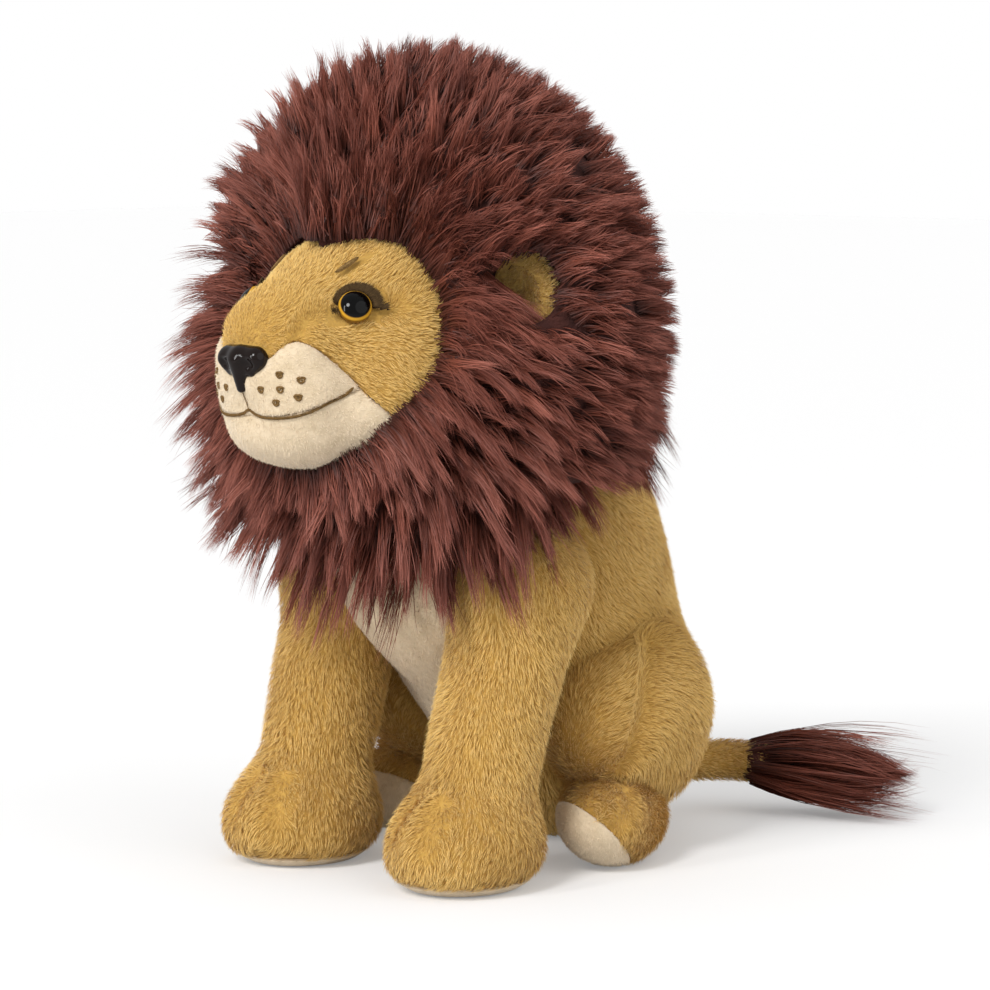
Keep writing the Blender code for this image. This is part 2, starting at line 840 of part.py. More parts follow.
def make_tail():
    skin = tail_form(0.0)
    hollow = tail_form(SKIN, TAIL_RADIUS)
    filling = tail_form(SKIN + GAP)
    minus(skin, hollow)
    end, heading = tail_place(tail_length() + GAP)
    base = end + np.array((0.0, 0.0, TUFT_RISE))
    shares = zip(TUFT_RADIUS_SHARES, TUFT_LENGTH_SHARES)
    outline = [(TUFT_RADIUS * out, TUFT_LENGTH * along) for out, along in shares]
    profile = [(0.0, 0.0)] + outline + [(0.0, TUFT_LENGTH)]
    tuft = turned_solid(profile, SMALL_ROUND, base, heading)
    finished(skin, "tail_skin", gold_plush())
    finished(filling, "tail_filling", fibre_fill())
    finished(tuft, "tail_tuft", mane_pile())
    drop(hollow)


# Head


def head_centre():
    return np.array((0.0, -HEAD_FORWARD, HEAD_HEIGHT))


def head_field(points):
    """Skull, cheeks, nose bridge, muzzle and jaw, the same on both sides."""
    folded = np.array(points, float)
    folded[..., 0] = np.abs(folded[..., 0])
    centre = head_centre()
    bridge = centre + np.array((0.0, -BRIDGE_FORWARD, BRIDGE_RISE))
    muzzle = centre + np.array((0.0, -MUZZLE_FORWARD, -MUZZLE_DROP))
    jaw = centre + np.array((0.0, -JAW_FORWARD, -JAW_DROP))
    cheek = centre + np.array((CHEEK_SPREAD, -CHEEK_FORWARD, -CHEEK_DROP))
    fields = [
        ellipsoid(folded, centre, HEAD_RADII),
        ellipsoid(folded, bridge, BRIDGE_RADII, turn(pitch=BRIDGE_PITCH_DEG)),
        ellipsoid(folded, muzzle, MUZZLE_RADII),
        ellipsoid(folded, jaw, JAW_RADII),
        ellipsoid(folded, cheek, CHEEK_RADII),
    ]
    return blended(fields, HEAD_BLEND)


def plain_head(inset):
    """The head's outer form before the neck is cut from it."""
    centre = head_centre()
    front = centre + np.array((0.0, -MUZZLE_FORWARD / 2.0, -MUZZLE_DROP / 2.0))
    return form(head_field, (centre, front, (0.0, -1.0, 0.0)), HEAD_ROUND, FINE_CAPS, HEAD_RINGS, inset=inset)


def head_form(inset):
    """The whole head with its skin moved in by inset, clear of the neck."""
    piece = plain_head(inset)
    neck = neck_region(GAP + max(inset, 0.0))
    minus(piece, neck)
    drop(neck)
    return piece


def head_surface():
    """A search tree of the head's outer faces, for the places of the trims."""
    piece = plain_head(0.0)
    edit = bmesh.new()
    edit.from_mesh(piece.data)
    tree = BVHTree.FromBMesh(edit)
    edit.free()
    drop(piece)
    return tree


def on_face(face, across, up, lift=0.0):
    """The place on the face seen from the front at across and up, raised by lift."""
    start = Vector(head_centre()) + Vector((across, 0.0, up))
    hit, normal, _, _ = face.ray_cast(start, Vector((0.0, -1.0, 0.0)))
    return np.array(hit + normal * lift)


def eye_seat(face):
    """The centre of the left eye's flat back and the way the eye looks."""
    ring = []
    for step in range(FINE_ROUND):
        angle = 2.0 * math.pi * step / FINE_ROUND
        across = EYE_SPREAD + EYE_RADIUS * math.cos(angle)
        ring.append(on_face(face, across, EYE_RISE + EYE_RADIUS * math.sin(angle)))
    centre = np.mean(ring, axis=0)
    normal = surface_normal(head_field, on_face(face, EYE_SPREAD, EYE_RISE))
    highest = max((place - centre) @ normal for place in ring)
    middle = (on_face(face, EYE_SPREAD, EYE_RISE) - centre) @ normal
    return centre + normal * (max(highest, middle) + GAP), normal


def nose_seat(face):
    return on_face(face, 0.0, -NOSE_DROP)


def bar(radius, start_height, end_height, origin, axis):
    """A round bar along axis, between two heights above origin."""
    profile = [(0.0, start_height), (radius, start_height), (radius, end_height), (0.0, end_height)]
    return turned_solid(profile, FINE_ROUND, origin, axis)


def stem_holes(face, radius):
    """Cutters for the two eye stems and the nose stem, from outside to past their ends."""
    point, normal = eye_seat(face)
    left = bar(radius, -STEM_LENGTH - GAP, EYE_RADIUS, point, normal)
    nose = bar(radius, -STEM_LENGTH - GAP, EYE_RADIUS, nose_seat(face), (0.0, -1.0, 0.0))
    return [left, mirrored(left, "hole"), nose]


def below(forward, rise, pitch, shift):
    """All below a plane that crosses the face and falls backward by pitch degrees."""
    normal = turn(pitch=-pitch) @ np.array((0.0, 0.0, 1.0))
    place = head_centre() + np.array((0.0, -forward, rise))
    return half_space(place + normal * shift, normal)


def lip_region(shift):
    """The front of the muzzle, below the seams that bound the cream lips."""
    region = below(LIP_EDGE_FORWARD, LIP_EDGE_RISE, LIP_EDGE_PITCH_DEG, shift)
    top = below(LIP_EDGE_FORWARD, LIP_EDGE_RISE, LIP_TOP_PITCH_DEG, shift)
    within(region, top)
    drop(top)
    return region


def lip_seam(shift):
    """All below the mouth seam, between the upper lip and the chin."""
    return below(LIP_SEAM_FORWARD, -LIP_SEAM_DROP, LIP_SEAM_PITCH_DEG, shift)


def make_head(face):
    skin = head_form(0.0)
    hollow = head_form(SKIN)
    filling = head_form(SKIN + GAP)
    skin_holes = stem_holes(face, STEM_RADIUS + GAP)
    filling_holes = stem_holes(face, WASHER_RADIUS + GAP)
    minus(skin, hollow, *skin_holes)
    minus(filling, *filling_holes)
    edge, edge_gap = lip_region(0.0), lip_region(GAP)
    seam, seam_gap = lip_seam(-GAP), lip_seam(0.0)
    lips = within(copy_of(skin, "lips"), edge)
    chin = within(copy_of(lips, "chin"), seam)
    minus(lips, seam_gap)
    minus(skin, edge_gap)
    finished(skin, "head_skin", gold_plush())
    finished(lips, "upper_lip_panel", cream_plush())
    finished(chin, "chin_panel", cream_plush())
    finished(filling, "head_filling", fibre_fill())
    drop(hollow, edge, edge_gap, seam, seam_gap, *skin_holes, *filling_holes)


# Eyes and nose


def make_eyes(face):
    point, normal = eye_seat(face)
    dome = []
    for step in range(1, DOME_STEPS):
        angle = math.radians(90.0 * step / DOME_STEPS)
        dome.append((EYE_RADIUS * math.cos(angle), EYE_RIM + EYE_DOME * math.sin(angle)))
    profile = [
        (0.0, -STEM_LENGTH),
        (STEM_RADIUS, -STEM_LENGTH),
        (STEM_RADIUS, 0.0),
        (EYE_RADIUS, 0.0),
        (EYE_RADIUS, EYE_RIM),
        *dome,
        (0.0, EYE_RIM + EYE_DOME),
    ]
    eye = turned_solid(profile, SMALL_ROUND, point, normal)
    washer = washer_on(point, normal)
    lid = eyelid(face, point, normal)
    brow = brow_thread(face)
    finished(eye, "eye_left", dark_plastic())
    finished(washer, "eye_washer_left", washer_plastic())
    finished(lid, "eyelid_left", lid_plush())
    finished(brow, "brow_stitch_left", brown_thread())
    both_sides([eye, washer, lid, brow])


def washer_on(point, normal):
    """The locking washer on a stem, inside the skin."""
    ring = bar(WASHER_RADIUS, -WASHER_DEPTH - WASHER_THICKNESS, -WASHER_DEPTH, point, normal)
    bore = bar(STEM_RADIUS + GAP, -STEM_LENGTH, EYE_RADIUS, point, normal)
    minus(ring, bore)
    drop(bore)
    return ring


def slab(low, high):
    """A closed solid between two grids of points that have the same rows and columns."""
    rows, columns = low.shape[0], low.shape[1]
    points = np.concatenate([low.reshape(-1, 3), high.reshape(-1, 3)])
    top = rows * columns
    faces = []
    for row in range(rows - 1):
        for column in range(columns - 1):
            first = row * columns + column
            corner = (first, first + 1, first + 1 + columns, first + columns)
            faces.append(corner[::-1])
            faces.append(tuple(index + top for index in corner))
    rim = [column for column in range(columns)]
    rim += [row * columns + columns - 1 for row in range(1, rows)]
    rim += [(rows - 1) * columns + column for column in range(columns - 2, -1, -1)]
    rim += [row * columns for row in range(rows - 2, 0, -1)]
    for index, first in enumerate(rim):
        after = rim[(index + 1) % len(rim)]
        faces.append((first, after, after + top, first + top))
    piece = new_piece("slab", points, faces)
    tidy_mesh(piece, outward=True)
    return piece


def eyelid(face, point, normal):
    """A crescent of brown plush that lies on the skin round the top of an eye."""
    across = np.cross((0.0, 0.0, 1.0), normal)
    across /= np.linalg.norm(across)
    upward = np.cross(normal, across)
    low, high = [], []
    for step in range(LID_STEPS + 1):
        share = step / LID_STEPS
        angle = math.radians(LID_START_DEG + (LID_END_DEG - LID_START_DEG) * share)
        spoke = across * math.cos(angle) + upward * math.sin(angle)
        width = LID_WIDTH * (LID_END_SHARE + (1.0 - LID_END_SHARE) * math.sin(math.pi * share))
        row_low, row_high = [], []
        for part in range(LID_ROWS):
            place = point + spoke * (EYE_RADIUS + GAP + width * part / (LID_ROWS - 1))
            start = Vector(place - normal * HEAD_RADII[0] / 2.0)
            hit, _, _, _ = face.ray_cast(start, Vector(normal))
            row_low.append(np.array(hit) + normal * TRIM_LIFT)
            row_high.append(np.array(hit) + normal * (TRIM_LIFT + LID_THICKNESS))
        low.append(row_low)
        high.append(row_high)
    return slab(np.array(low), np.array(high))


def thread(face, places):
    """A round thread just above the face, through (across, up) places seen from the front."""
    path = [on_face(face, across, up, TRIM_LIFT + THREAD_RADIUS) for across, up in places]
    return tube(path, [0.0] + [THREAD_RADIUS] * (len(path) - TWO_ENDS) + [0.0], THREAD_SIDES)


def brow_thread(face):
    places = []
    for step in range(BROW_STEPS + 1):
        share = step / BROW_STEPS
        places.append((BROW_SPREAD + BROW_RUN * (share - 0.5), BROW_RISE + BROW_RUN * (share - 0.5)))
    return thread(face, places)


def mouth_drop(across):
    """How far below the head's centre the mouth line lies at a place across the face."""
    share = abs(across) / MOUTH_HALF_WIDTH
    curve = MOUTH_DIP_DROP - (MOUTH_DIP_DROP - MOUTH_CORNER_DROP) * share**3
    return curve - MOUTH_PEAK * math.exp(-((across / MOUTH_PEAK_WIDTH) ** 2))


def make_mouth(face):
    steps = np.linspace(-MOUTH_HALF_WIDTH, MOUTH_HALF_WIDTH, MOUTH_STEPS)
    line = thread(face, [(across, -mouth_drop(across)) for across in steps])
    drops = np.linspace(PHILTRUM_TOP_DROP, mouth_drop(0.0), PHILTRUM_STEPS)
    joined(line, thread(face, [(0.0, -down) for down in drops]))
    finished(line, "mouth_stitch", brown_thread())


def nose_field(points, seat):
    folded = np.array(points, float)
    folded[..., 0] = np.abs(folded[..., 0])
    size = np.array((NOSE_HALF_WIDTH, NOSE_HALF_DEPTH, NOSE_HALF_HEIGHT))
    wing = seat + size * np.array(NOSE_WING_PLACE_SHARES)
    tip = seat + size * np.array(NOSE_TIP_PLACE_SHARES)
    fields = [
        ellipsoid(folded, wing, size * np.array(NOSE_WING_SIZE_SHARES)),
        ellipsoid(folded, tip, size * np.array(NOSE_TIP_SIZE_SHARES)),
    ]
    return blended(fields, NOSE_BLEND)


def make_nose(face):
    seat = nose_seat(face)

    def field(points):
        return nose_field(points, seat)

    nose = form(field, (seat, seat, (0.0, -1.0, 0.0)), ROUND, FINE_CAPS)
    head = plain_head(-GAP)
    minus(nose, head)
    joined(nose, bar(STEM_RADIUS, -STEM_LENGTH, NOSE_HALF_DEPTH / 2.0, seat, (0.0, -1.0, 0.0)))
    washer = washer_on(seat, (0.0, -1.0, 0.0))
    finished(nose, "nose", dark_plastic())
    finished(washer, "nose_washer", washer_plastic())
    drop(head)


# Ears


def ear_frame():
    """The ear's axes as columns, across along its seam, back and out, and its seam's centre."""
    out_angle, back_angle = math.radians(EAR_OUT_DEG), math.radians(EAR_BACK_DEG)
    out = np.array(
        (
            math.sin(out_angle) * math.cos(back_angle),
            math.sin(out_angle) * math.sin(back_angle),
            math.cos(out_angle),
        )
    )
    splay = math.radians(EAR_SPLAY_DEG)
    back = np.array((-math.sin(splay), math.cos(splay), 0.0))
    back -= out * (back @ out)
    back /= np.linalg.norm(back)
    across = np.cross(back, out)
    place = surface_point(head_field, head_centre(), out, -GAP - EAR_THICKNESS / 2.0)
    return np.stack([across, back, out], axis=1), place


def ear_field(local):
    """An ear in its own axes: a dished round flap with a round edge along its seam."""
    half = EAR_THICKNESS / 2.0
    reach = EAR_HALF_WIDTH - half
    seam = limb(local, (-reach, 0.0, 0.0), (reach, 0.0, 0.0), half, half)
    flap = ellipsoid(local, (0.0, 0.0, EAR_TALL / 2.0), (EAR_HALF_WIDTH, half, EAR_TALL / 2.0))
    dish = ellipsoid(
        local,
        (0.0, -half - EAR_DISH / 2.0, EAR_TALL / 2.0),
        (EAR_HALF_WIDTH - half, EAR_DISH + half / 2.0, EAR_TALL / 2.0 - half),
    )
    return np.maximum(blended([seam, flap], half), -dish)


def make_ears():
    frame, place = ear_frame()

    def field(points):
        return ear_field((points - place) @ frame)

    centre = place + frame @ np.array((0.0, 0.0, EAR_TALL / 2.0))
    ear = form(field, (centre, centre, frame @ np.array((0.0, 1.0, 0.0))), SMALL_ROUND, CAPS)
    finished(ear, "ear_left", gold_plush())
    both_sides([ear])


def ear_room():
    """The notch in the mane that the left ear stands and folds in, open to the front."""
    frame, place = ear_frame()
    half = EAR_HALF_WIDTH + EAR_ROOM
    thick = EAR_THICKNESS / 2.0 + EAR_ROOM
    forward, backward = math.radians(EAR_NOTCH_DEG), math.radians(EAR_BACK_FOLD_DEG)
    outline = [
        (thick, -thick),
        (-thick, -thick),
        (-EAR_NOTCH_REACH * math.sin(forward) - thick, EAR_NOTCH_REACH * math.cos(forward)),
        (EAR_NOTCH_REACH * math.sin(backward) + thick, EAR_NOTCH_REACH * math.cos(backward)),
    ]
    low = [frame @ np.array((-half, back, out)) + place for back, out in outline]
    high = [frame @ np.array((half, back, out)) + place for back, out in outline]
    count = len(outline)
    faces = [tuple(range(count)), tuple(range(2 * count - 1, count - 1, -1))]
    for index in range(count):
        after = (index + 1) % count
        faces.append((index, after, after + count, index + count))
    piece = new_piece("room", low + high, faces)
    tidy_mesh(piece, outward=True)
    return piece


# Mane


def mane_centre():
    return np.array((0.0, -MANE_FORWARD, MANE_HEIGHT))


def mane_field(points):
    """A rounded mass with broad locks that lean away from the face."""
    local = points - mane_centre()
    around = np.arctan2(local[..., 0], local[..., 2])
    along = np.arctan2(local[..., 1], np.hypot(local[..., 0], local[..., 2]))
    locks = MANE_LOCK * np.cos(MANE_WAVES * around) * np.cos(along) ** 2
    return ellipsoid(points, mane_centre(), MANE_RADII) - locks


def face_opening():
    """The flared space in front of the face that the mane leaves free."""
    flare = math.tan(math.radians(FACE_FLARE_DEG)) * (OVERRUN - FACE_SETBACK)
    profile = [
        (0.0, FACE_SETBACK),
        (FACE_HALF_HEIGHT, FACE_SETBACK),
        (FACE_HALF_HEIGHT + flare, OVERRUN),
        (0.0, OVERRUN),
    ]
    piece = turned_solid(profile, ROUND, (0.0, 0.0, 0.0), (0.0, -1.0, 0.0))
    piece.data.transform(Matrix.Diagonal((FACE_HALF_WIDTH / FACE_HALF_HEIGHT, 1.0, 1.0, 1.0)))
    piece.data.transform(Matrix.Translation(head_centre() - np.array((0.0, 0.0, FACE_DROP))))
    return piece


def crown_side(shift):
    """All that lies on the left of the seam between the crown and the left mane panel."""
    angle = math.radians(CROWN_HALF_DEG)
    normal = np.array((math.cos(angle), 0.0, -math.sin(angle)))
    return half_space(mane_centre() + normal * shift, -normal)


def make_mane():
    spine = (mane_centre(), mane_centre(), (0.0, 1.0, 0.0))
    whole = form(mane_field, spine, 2 * MANE_WAVES, FINE_CAPS)
    head = plain_head(-GAP)
    neck = neck_region(GAP)
    face = face_opening()
    room = ear_room()
    other_room = mirrored(room, "room")
    minus(whole, head, neck, face, room, other_room)
    behind = half_space(head_centre() + np.array((0.0, NAPE_BACK, 0.0)), (0.0, -1.0, 0.0))
    behind_gap = half_space(head_centre() + np.array((0.0, NAPE_BACK - GAP, 0.0)), (0.0, -1.0, 0.0))
    nape = within(copy_of(whole, "nape"), behind)
    minus(whole, behind_gap)
    side, side_gap = crown_side(0.0), crown_side(-GAP)
    left = within(copy_of(whole, "left"), side)
    middle = half_space((GAP / 2.0, 0.0, 0.0), (-1.0, 0.0, 0.0))
    within(left, middle)
    other_gap = mirrored(side_gap, "gap")
    crown = minus(whole, side_gap, other_gap)
    finished(crown, "mane_crown", mane_pile())
    finished(left, "mane_left", mane_pile())
    finished(nape, "mane_nape", mane_pile())
    both_sides([left])
    drop(head, neck, face, room, other_room, behind, behind_gap, side, side_gap, middle, other_gap)


def make_bib():
    """The part of the mane below the chin, sewn to the chest and clear of both legs."""
    centre = (0.0, -BIB_FORWARD, BIB_HEIGHT)

    def field(points):
        return ellipsoid(points, centre, BIB_RADII)

    bib = form(field, (centre, centre, (0.0, 0.0, 1.0)), ROUND, FINE_CAPS)
    neck = neck_region(-GAP)
    within(bib, neck)
    body = plain_body(-GAP)
    room = leg_room()
    other_room = mirrored(room, "room")
    minus(bib, body, room, other_room)
    finished(bib, "mane_bib", mane_pile())
    drop(neck, body, room, other_room)


def leg_room():
    """All that the top of the left front leg sweeps as it swings forward, with a clearance."""
    pivot = shoulder_place()
    turns = leg_swings(1.0)

    def field(points):
        legs = [front_leg_field((points - pivot) @ swing.T + pivot) for swing in turns]
        legs.append(ellipsoid(points, pivot, SHOULDER_RADII))
        return np.minimum.reduce(legs)

    return form(field, (pivot, pivot, (1.0, 0.0, 0.0)), ROOM_ROUND, ROOM_CAPS, inset=-LEG_TO_BODY)


def main():
    clear_scene()
    make_body()
    make_front_legs()
    make_hind_legs()
    make_tail()
    face = head_surface()
    make_head(face)
    make_eyes(face)
    make_mouth(face)
    make_nose(face)
    make_ears()
    make_mane()
    make_bib()


main()
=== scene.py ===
"""A sitting plush lion with a shaggy long-pile mane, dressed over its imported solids."""

import math

import bpy
import numpy as np
from mathutils import Matrix, Vector


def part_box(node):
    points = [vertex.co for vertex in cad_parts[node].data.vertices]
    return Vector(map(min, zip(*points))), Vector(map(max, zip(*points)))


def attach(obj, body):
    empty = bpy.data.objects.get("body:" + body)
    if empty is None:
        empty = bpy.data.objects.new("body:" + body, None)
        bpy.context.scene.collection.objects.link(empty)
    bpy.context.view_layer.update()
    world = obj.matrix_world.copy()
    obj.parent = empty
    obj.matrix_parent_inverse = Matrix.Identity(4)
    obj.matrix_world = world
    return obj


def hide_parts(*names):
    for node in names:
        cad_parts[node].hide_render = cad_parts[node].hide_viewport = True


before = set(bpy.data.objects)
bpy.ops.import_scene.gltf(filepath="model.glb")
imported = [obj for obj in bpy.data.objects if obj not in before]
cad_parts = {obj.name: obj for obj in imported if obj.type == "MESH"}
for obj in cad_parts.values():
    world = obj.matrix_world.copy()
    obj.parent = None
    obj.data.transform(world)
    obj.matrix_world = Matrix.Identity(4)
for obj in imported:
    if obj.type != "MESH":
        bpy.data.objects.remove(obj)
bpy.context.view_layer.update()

# Sizes in metres and angles in degrees. The lion faces -Y, its left side is +X. Forms of a side are the left side's.

UP = np.array((0.0, 0.0, 1.0))
DOWN = np.array((0.0, 0.0, -1.0))
FRONT = np.array((0.0, -1.0, 0.0))
MIRROR = np.array((-1.0, 1.0, 1.0))
SIDES = ("left", "right")
TINY = 1e-12

FLAT_DEPTH = 0.0005
FUR_ROOM = 0.0014
FUR_WIDTH = 0.00023
FLOOR_GAP = 0.0003
FLOOR_CUT = 0.0002

RUMP_RADII = (0.053, 0.051, 0.052)
CHEST_RADII = (0.050, 0.056, 0.058)
CHEST_PLACE = (0.0, -0.030, 0.106)
NECK_PLACE = (0.0, -0.056, 0.176)
NECK_RADIUS = 0.044
NECK_SHARE = 0.9
BODY_BLEND = 0.030
BELLY_PLACE = (0.0, -0.082, 0.088)
BELLY_RADII = (0.036, 0.054, 0.078)
BREAST_PLACE = (0.0, -0.067, 0.117)
BREAST_RADII = (0.044, 0.042, 0.046)

PAW_PLACE = (0.041, -0.104, 0.0185)
PAW_RADII = (0.0265, 0.030, 0.019)
PAW_BASE_PLACE = (0.041, -0.104, 0.0105)
PAW_BASE_RADII = (0.0245, 0.028, 0.0115)
SHOULDER_PLACE = (0.043, -0.075, 0.108)
SHOULDER_RADII = (0.0215, 0.0265, 0.0265)
UPPER_LEG_PLACE = (0.043, -0.077, 0.104)
UPPER_LEG_RADIUS = 0.023
ANKLE_PLACE = (0.041, -0.100, 0.027)
ANKLE_RADIUS = 0.0205
LEG_BLEND = 0.012
SOLE_THICKNESS = 0.0035
SOLE_LAP = 0.0006
TOE_SEAM_SWINGS_DEG = (18.0, -28.0)
TOE_SEAM_TILTS_DEG = (4.0, 18.0, 32.0, 46.0)

THIGH_PLACE = (0.043, -0.013, 0.054)
THIGH_RADII = (0.025, 0.037, 0.039)
THIGH_PITCH_DEG = 12.0
THIGH_SEAM = ((0.061, -0.022, 0.083), (0.066, -0.031, 0.068), (0.064, -0.037, 0.052), (0.059, -0.040, 0.038))
KNEE_PLACE = (0.046, -0.031, 0.054)
KNEE_RADII = (0.0240, 0.0290, 0.0270)
KNEE_BLEND = 0.008
FOOT_PLACE = (0.050, -0.032, 0.0173)
FOOT_RADII = (0.020, 0.033, 0.0175)
FOOT_TURN_DEG = 24.0
FOOT_SOLE_DEPTH = 0.0106
FOOT_SOLE_PITCH_DEG = -45.0
FOOT_SOLE_YAW_DEG = -22.0
TOE_SEAM = ((0.0649, -0.0403, 0.031), (0.0697, -0.0426, 0.0263), (0.0716, -0.0483, 0.0225), (0.0712, -0.0551, 0.0171))
INSTEP_CREASE = ((0.052, -0.050, 0.033), (0.056, -0.057, 0.028), (0.058, -0.061, 0.0245))

TAIL_ROOT = (0.0, 0.035, 0.0195)
TAIL_RADIUS = 0.0072
TAIL_STRAIGHT = 0.020
TAIL_BEND_RADIUS = 0.030
TAIL_BEND_DEG = 68.0
TAIL_RUN = 0.010
TUFT_LENGTH = 0.066
TUFT_CORE_LENGTH = 0.034

HEAD = np.array((0.0, -0.104, 0.194))
HEAD_RADII = (0.048, 0.047, 0.0465)
BRIDGE_RADII = (0.0264, 0.0315, 0.0206)
BRIDGE_PLACE = HEAD + (0.0, -0.040, 0.0087)
BRIDGE_PITCH_DEG = 14.0
MUZZLE_RADII = (0.02775, 0.026, 0.01975)
MUZZLE_PLACE = HEAD + (0.0, -0.0425, -0.01225)
MUZZLE_RISE = 0.0013
JAW_RADII = (0.02325, 0.02275, 0.0125)
JAW_PLACE = HEAD + (0.0, -0.040, -0.0275)
CHEEK_RADII = (0.020, 0.024, 0.022)
CHEEK_PLACE = HEAD + (0.024, -0.018, -0.014)
HEAD_BLEND = 0.011
LIP_BACK = 0.026
SOCKET_PLACE = HEAD + (0.0205, -0.0465, 0.0205)
MOUTH_PULL_PLACE = HEAD + (0.0, -0.070, -0.021)
CORNER_PLACE = HEAD + (0.0309, -0.0467, -0.0130)
LIP_SEAM_PLACE = HEAD + (0.0, -0.070, -0.0235)
LIP_SEAM_PITCH_DEG = -22.0
SNOUT_TIP = np.array((0.0, -0.068, 0.0))

EYE_SPREAD = 0.0255
EYE_RISE = 0.0159
EYE_RADIUS = 0.006
EYE_DOME = 0.0036
EYE_DEPTH = 0.0015
NOSE_HALF = np.array((0.0109, 0.0070, 0.0087))
NOSE_DROP = 0.0044

# Lines on the face as (across, up) from the head's middle; the mouth's as (across, down).

MOUTH_LINE = ((0.0, 0.0194), (0.0012, 0.0199), (0.0026, 0.0208), (0.0055, 0.0216), (0.0090, 0.0219), (0.0130, 0.0219),
              (0.0165, 0.0215), (0.0195, 0.0208), (0.0225, 0.0195), (0.0250, 0.0177), (0.0272, 0.0155),
              (0.0290, 0.0132), (0.0302, 0.0114))
PHILTRUM_TOP_DROP = 0.0135
LIP_EDGE = ((0.0, -0.0045), (0.0098, -0.0020), (0.0125, -0.0002), (0.0144, 0.0021), (0.0168, 0.0042),
            (0.0190, 0.0050), (0.0212, 0.0042), (0.0229, 0.0024), (0.0245, -0.0003), (0.0262, -0.0032),
            (0.0288, -0.0080), (0.0303, -0.0112), (0.0322, -0.0141), (0.0361, -0.0187), (0.0386, -0.0234),
            (0.0440, -0.0340))
INNER_EYE_FOLD = ((0.0212, 0.0146), (0.0206, 0.0134), (0.0203, 0.0112), (0.0200, 0.0083), (0.0192, 0.0058))
OUTER_EYE_FOLD = ((0.0320, 0.0152), (0.0336, 0.0160), (0.0352, 0.0166))
BROW_LINE = ((0.0158, 0.0282), (0.0170, 0.0306), (0.0181, 0.0330))
DOT_PLACES = ((0.0155, -0.0064), (0.0212, -0.0082), (0.0086, -0.0118), (0.0153, -0.0116), (0.0201, -0.0143),
              (0.0133, -0.0163))
DOT_RADIUS = 0.00088

EAR_PLACE = np.array((0.046886, -0.097411, 0.213129))
EAR_OUT_DEG = 68.0
EAR_BACK_DEG = 8.0
EAR_SPLAY_DEG = 14.0
EAR_HALF_WIDTH = 0.015
EAR_TALL = 0.027
EAR_THICKNESS = 0.006
EAR_DISH = 0.0022
EAR_DROP = 0.004

MANE_PLACE = np.array((0.0, -0.082, 0.200))
MANE_RADII = np.array((0.098, 0.066, 0.100))
BIB_PLACE = np.array((0.0, -0.094, 0.150))
BIB_RADII = np.array((0.088, 0.060, 0.064))
BIB_MIDDLE = np.array((0.0, -0.086, 0.190))
CORE_RADII = (0.090, 0.058, 0.093)
CORE_PLACE = (0.0, -0.080, 0.200)
CORE_LEAN = 0.12
COLLAR = 0.007

# The mane starts on the head this far behind its middle, by the angle round the face from the side upward.

HAIRLINE = ((-90.0, -0.040), (-60.0, -0.040), (-45.0, -0.038), (-29.0, -0.0345), (-20.0, -0.029), (-10.0, -0.0225),
            (1.4, -0.0175), (14.0, -0.0145), (24.0, -0.0135), (35.0, -0.0135), (47.0, -0.014), (58.0, -0.016),
            (65.0, -0.020), (74.0, -0.0245), (82.0, -0.0285), (90.0, -0.033))

# Toward a viewer at the lion's front left, and to that viewer's right.

TOWARD = np.array((0.669, -0.743, 0.0))
ASIDE = np.array((0.743, 0.669, 0.0))


# Fields: below zero inside a form, above zero outside it


def turn(pitch=0.0, yaw=0.0, roll=0.0):
    """Rotation about X, then Y, then Z, in degrees."""
    about_z, about_y, about_x = (Matrix.Rotation(math.radians(angle), 3, axis)
                                 for angle, axis in ((yaw, "Z"), (roll, "Y"), (pitch, "X")))
    return np.array(about_z @ about_y @ about_x)


def ellipsoid(points, centre, radii, rotation=None):
    local = points - np.array(centre)
    if rotation is not None:
        local = local @ rotation
    radii = np.array(radii)
    scaled = np.linalg.norm(local / radii, axis=-1)
    slope = np.linalg.norm(local / radii**2, axis=-1)
    return scaled * (scaled - 1.0) / np.maximum(slope, 1e-9)


def limb(points, start, end, start_radius=0.0, end_radius=0.0):
    """A round bar from start to end that tapers from one radius to the other."""
    start = np.array(start)
    along = np.array(end) - start
    share = np.clip((points - start) @ along / (along @ along), 0.0, 1.0)
    nearest = start + share[..., None] * along
    return np.linalg.norm(points - nearest, axis=-1) - start_radius - share * (end_radius - start_radius)


def blended(fields, width):
    """The union of several fields with a fillet about as wide as width."""
    total = fields[0]
    for other in fields[1:]:
        mix = np.clip(0.5 + 0.5 * (total - other) / width, 0.0, 1.0)
        total = total + (other - total) * mix - width * mix * (1.0 - mix)
    return total


def shared(fields, width):
    """What lies in all the fields, with its edges rounded."""
    return -blended([-field for field in fields], width)


def above_floor(field):
    return lambda points: np.maximum(field(points), FLOOR_CUT - points[:, 2])


def folded(points):
    """The points with the right half laid over the left one."""
    both = np.array(points, float)
    both[..., 0] = np.abs(both[..., 0])
    return both


def left_of(field):
    """A field of the left side, for both sides."""
    return lambda points: field(folded(points))


def dent(points, place, depth, width):
    """A soft dip round a place, as a stitch pulls it in."""
    return depth * np.exp(-np.sum((points - place) ** 2, axis=-1) / width**2)


def on_lines(points, lines, width):
    """How near points of either side lie to sewn lines: 1 on a line, nothing a few widths away."""
    points = folded(points)
    nears = [np.min([limb(points, *ends) for ends in zip(line[:-1], line[1:])], axis=0) for line in lines]
    return np.max([np.exp(-((near / width) ** 2)) for near in nears], axis=0)


def painted_crease_shade(points, field):
    """Painted shade along the crease where points meet the surface of a field of the left side: up to 0.8 there."""
    return 0.8 * np.exp(-((np.maximum(field(folded(points)), 0.0) / 0.0050) ** 2))


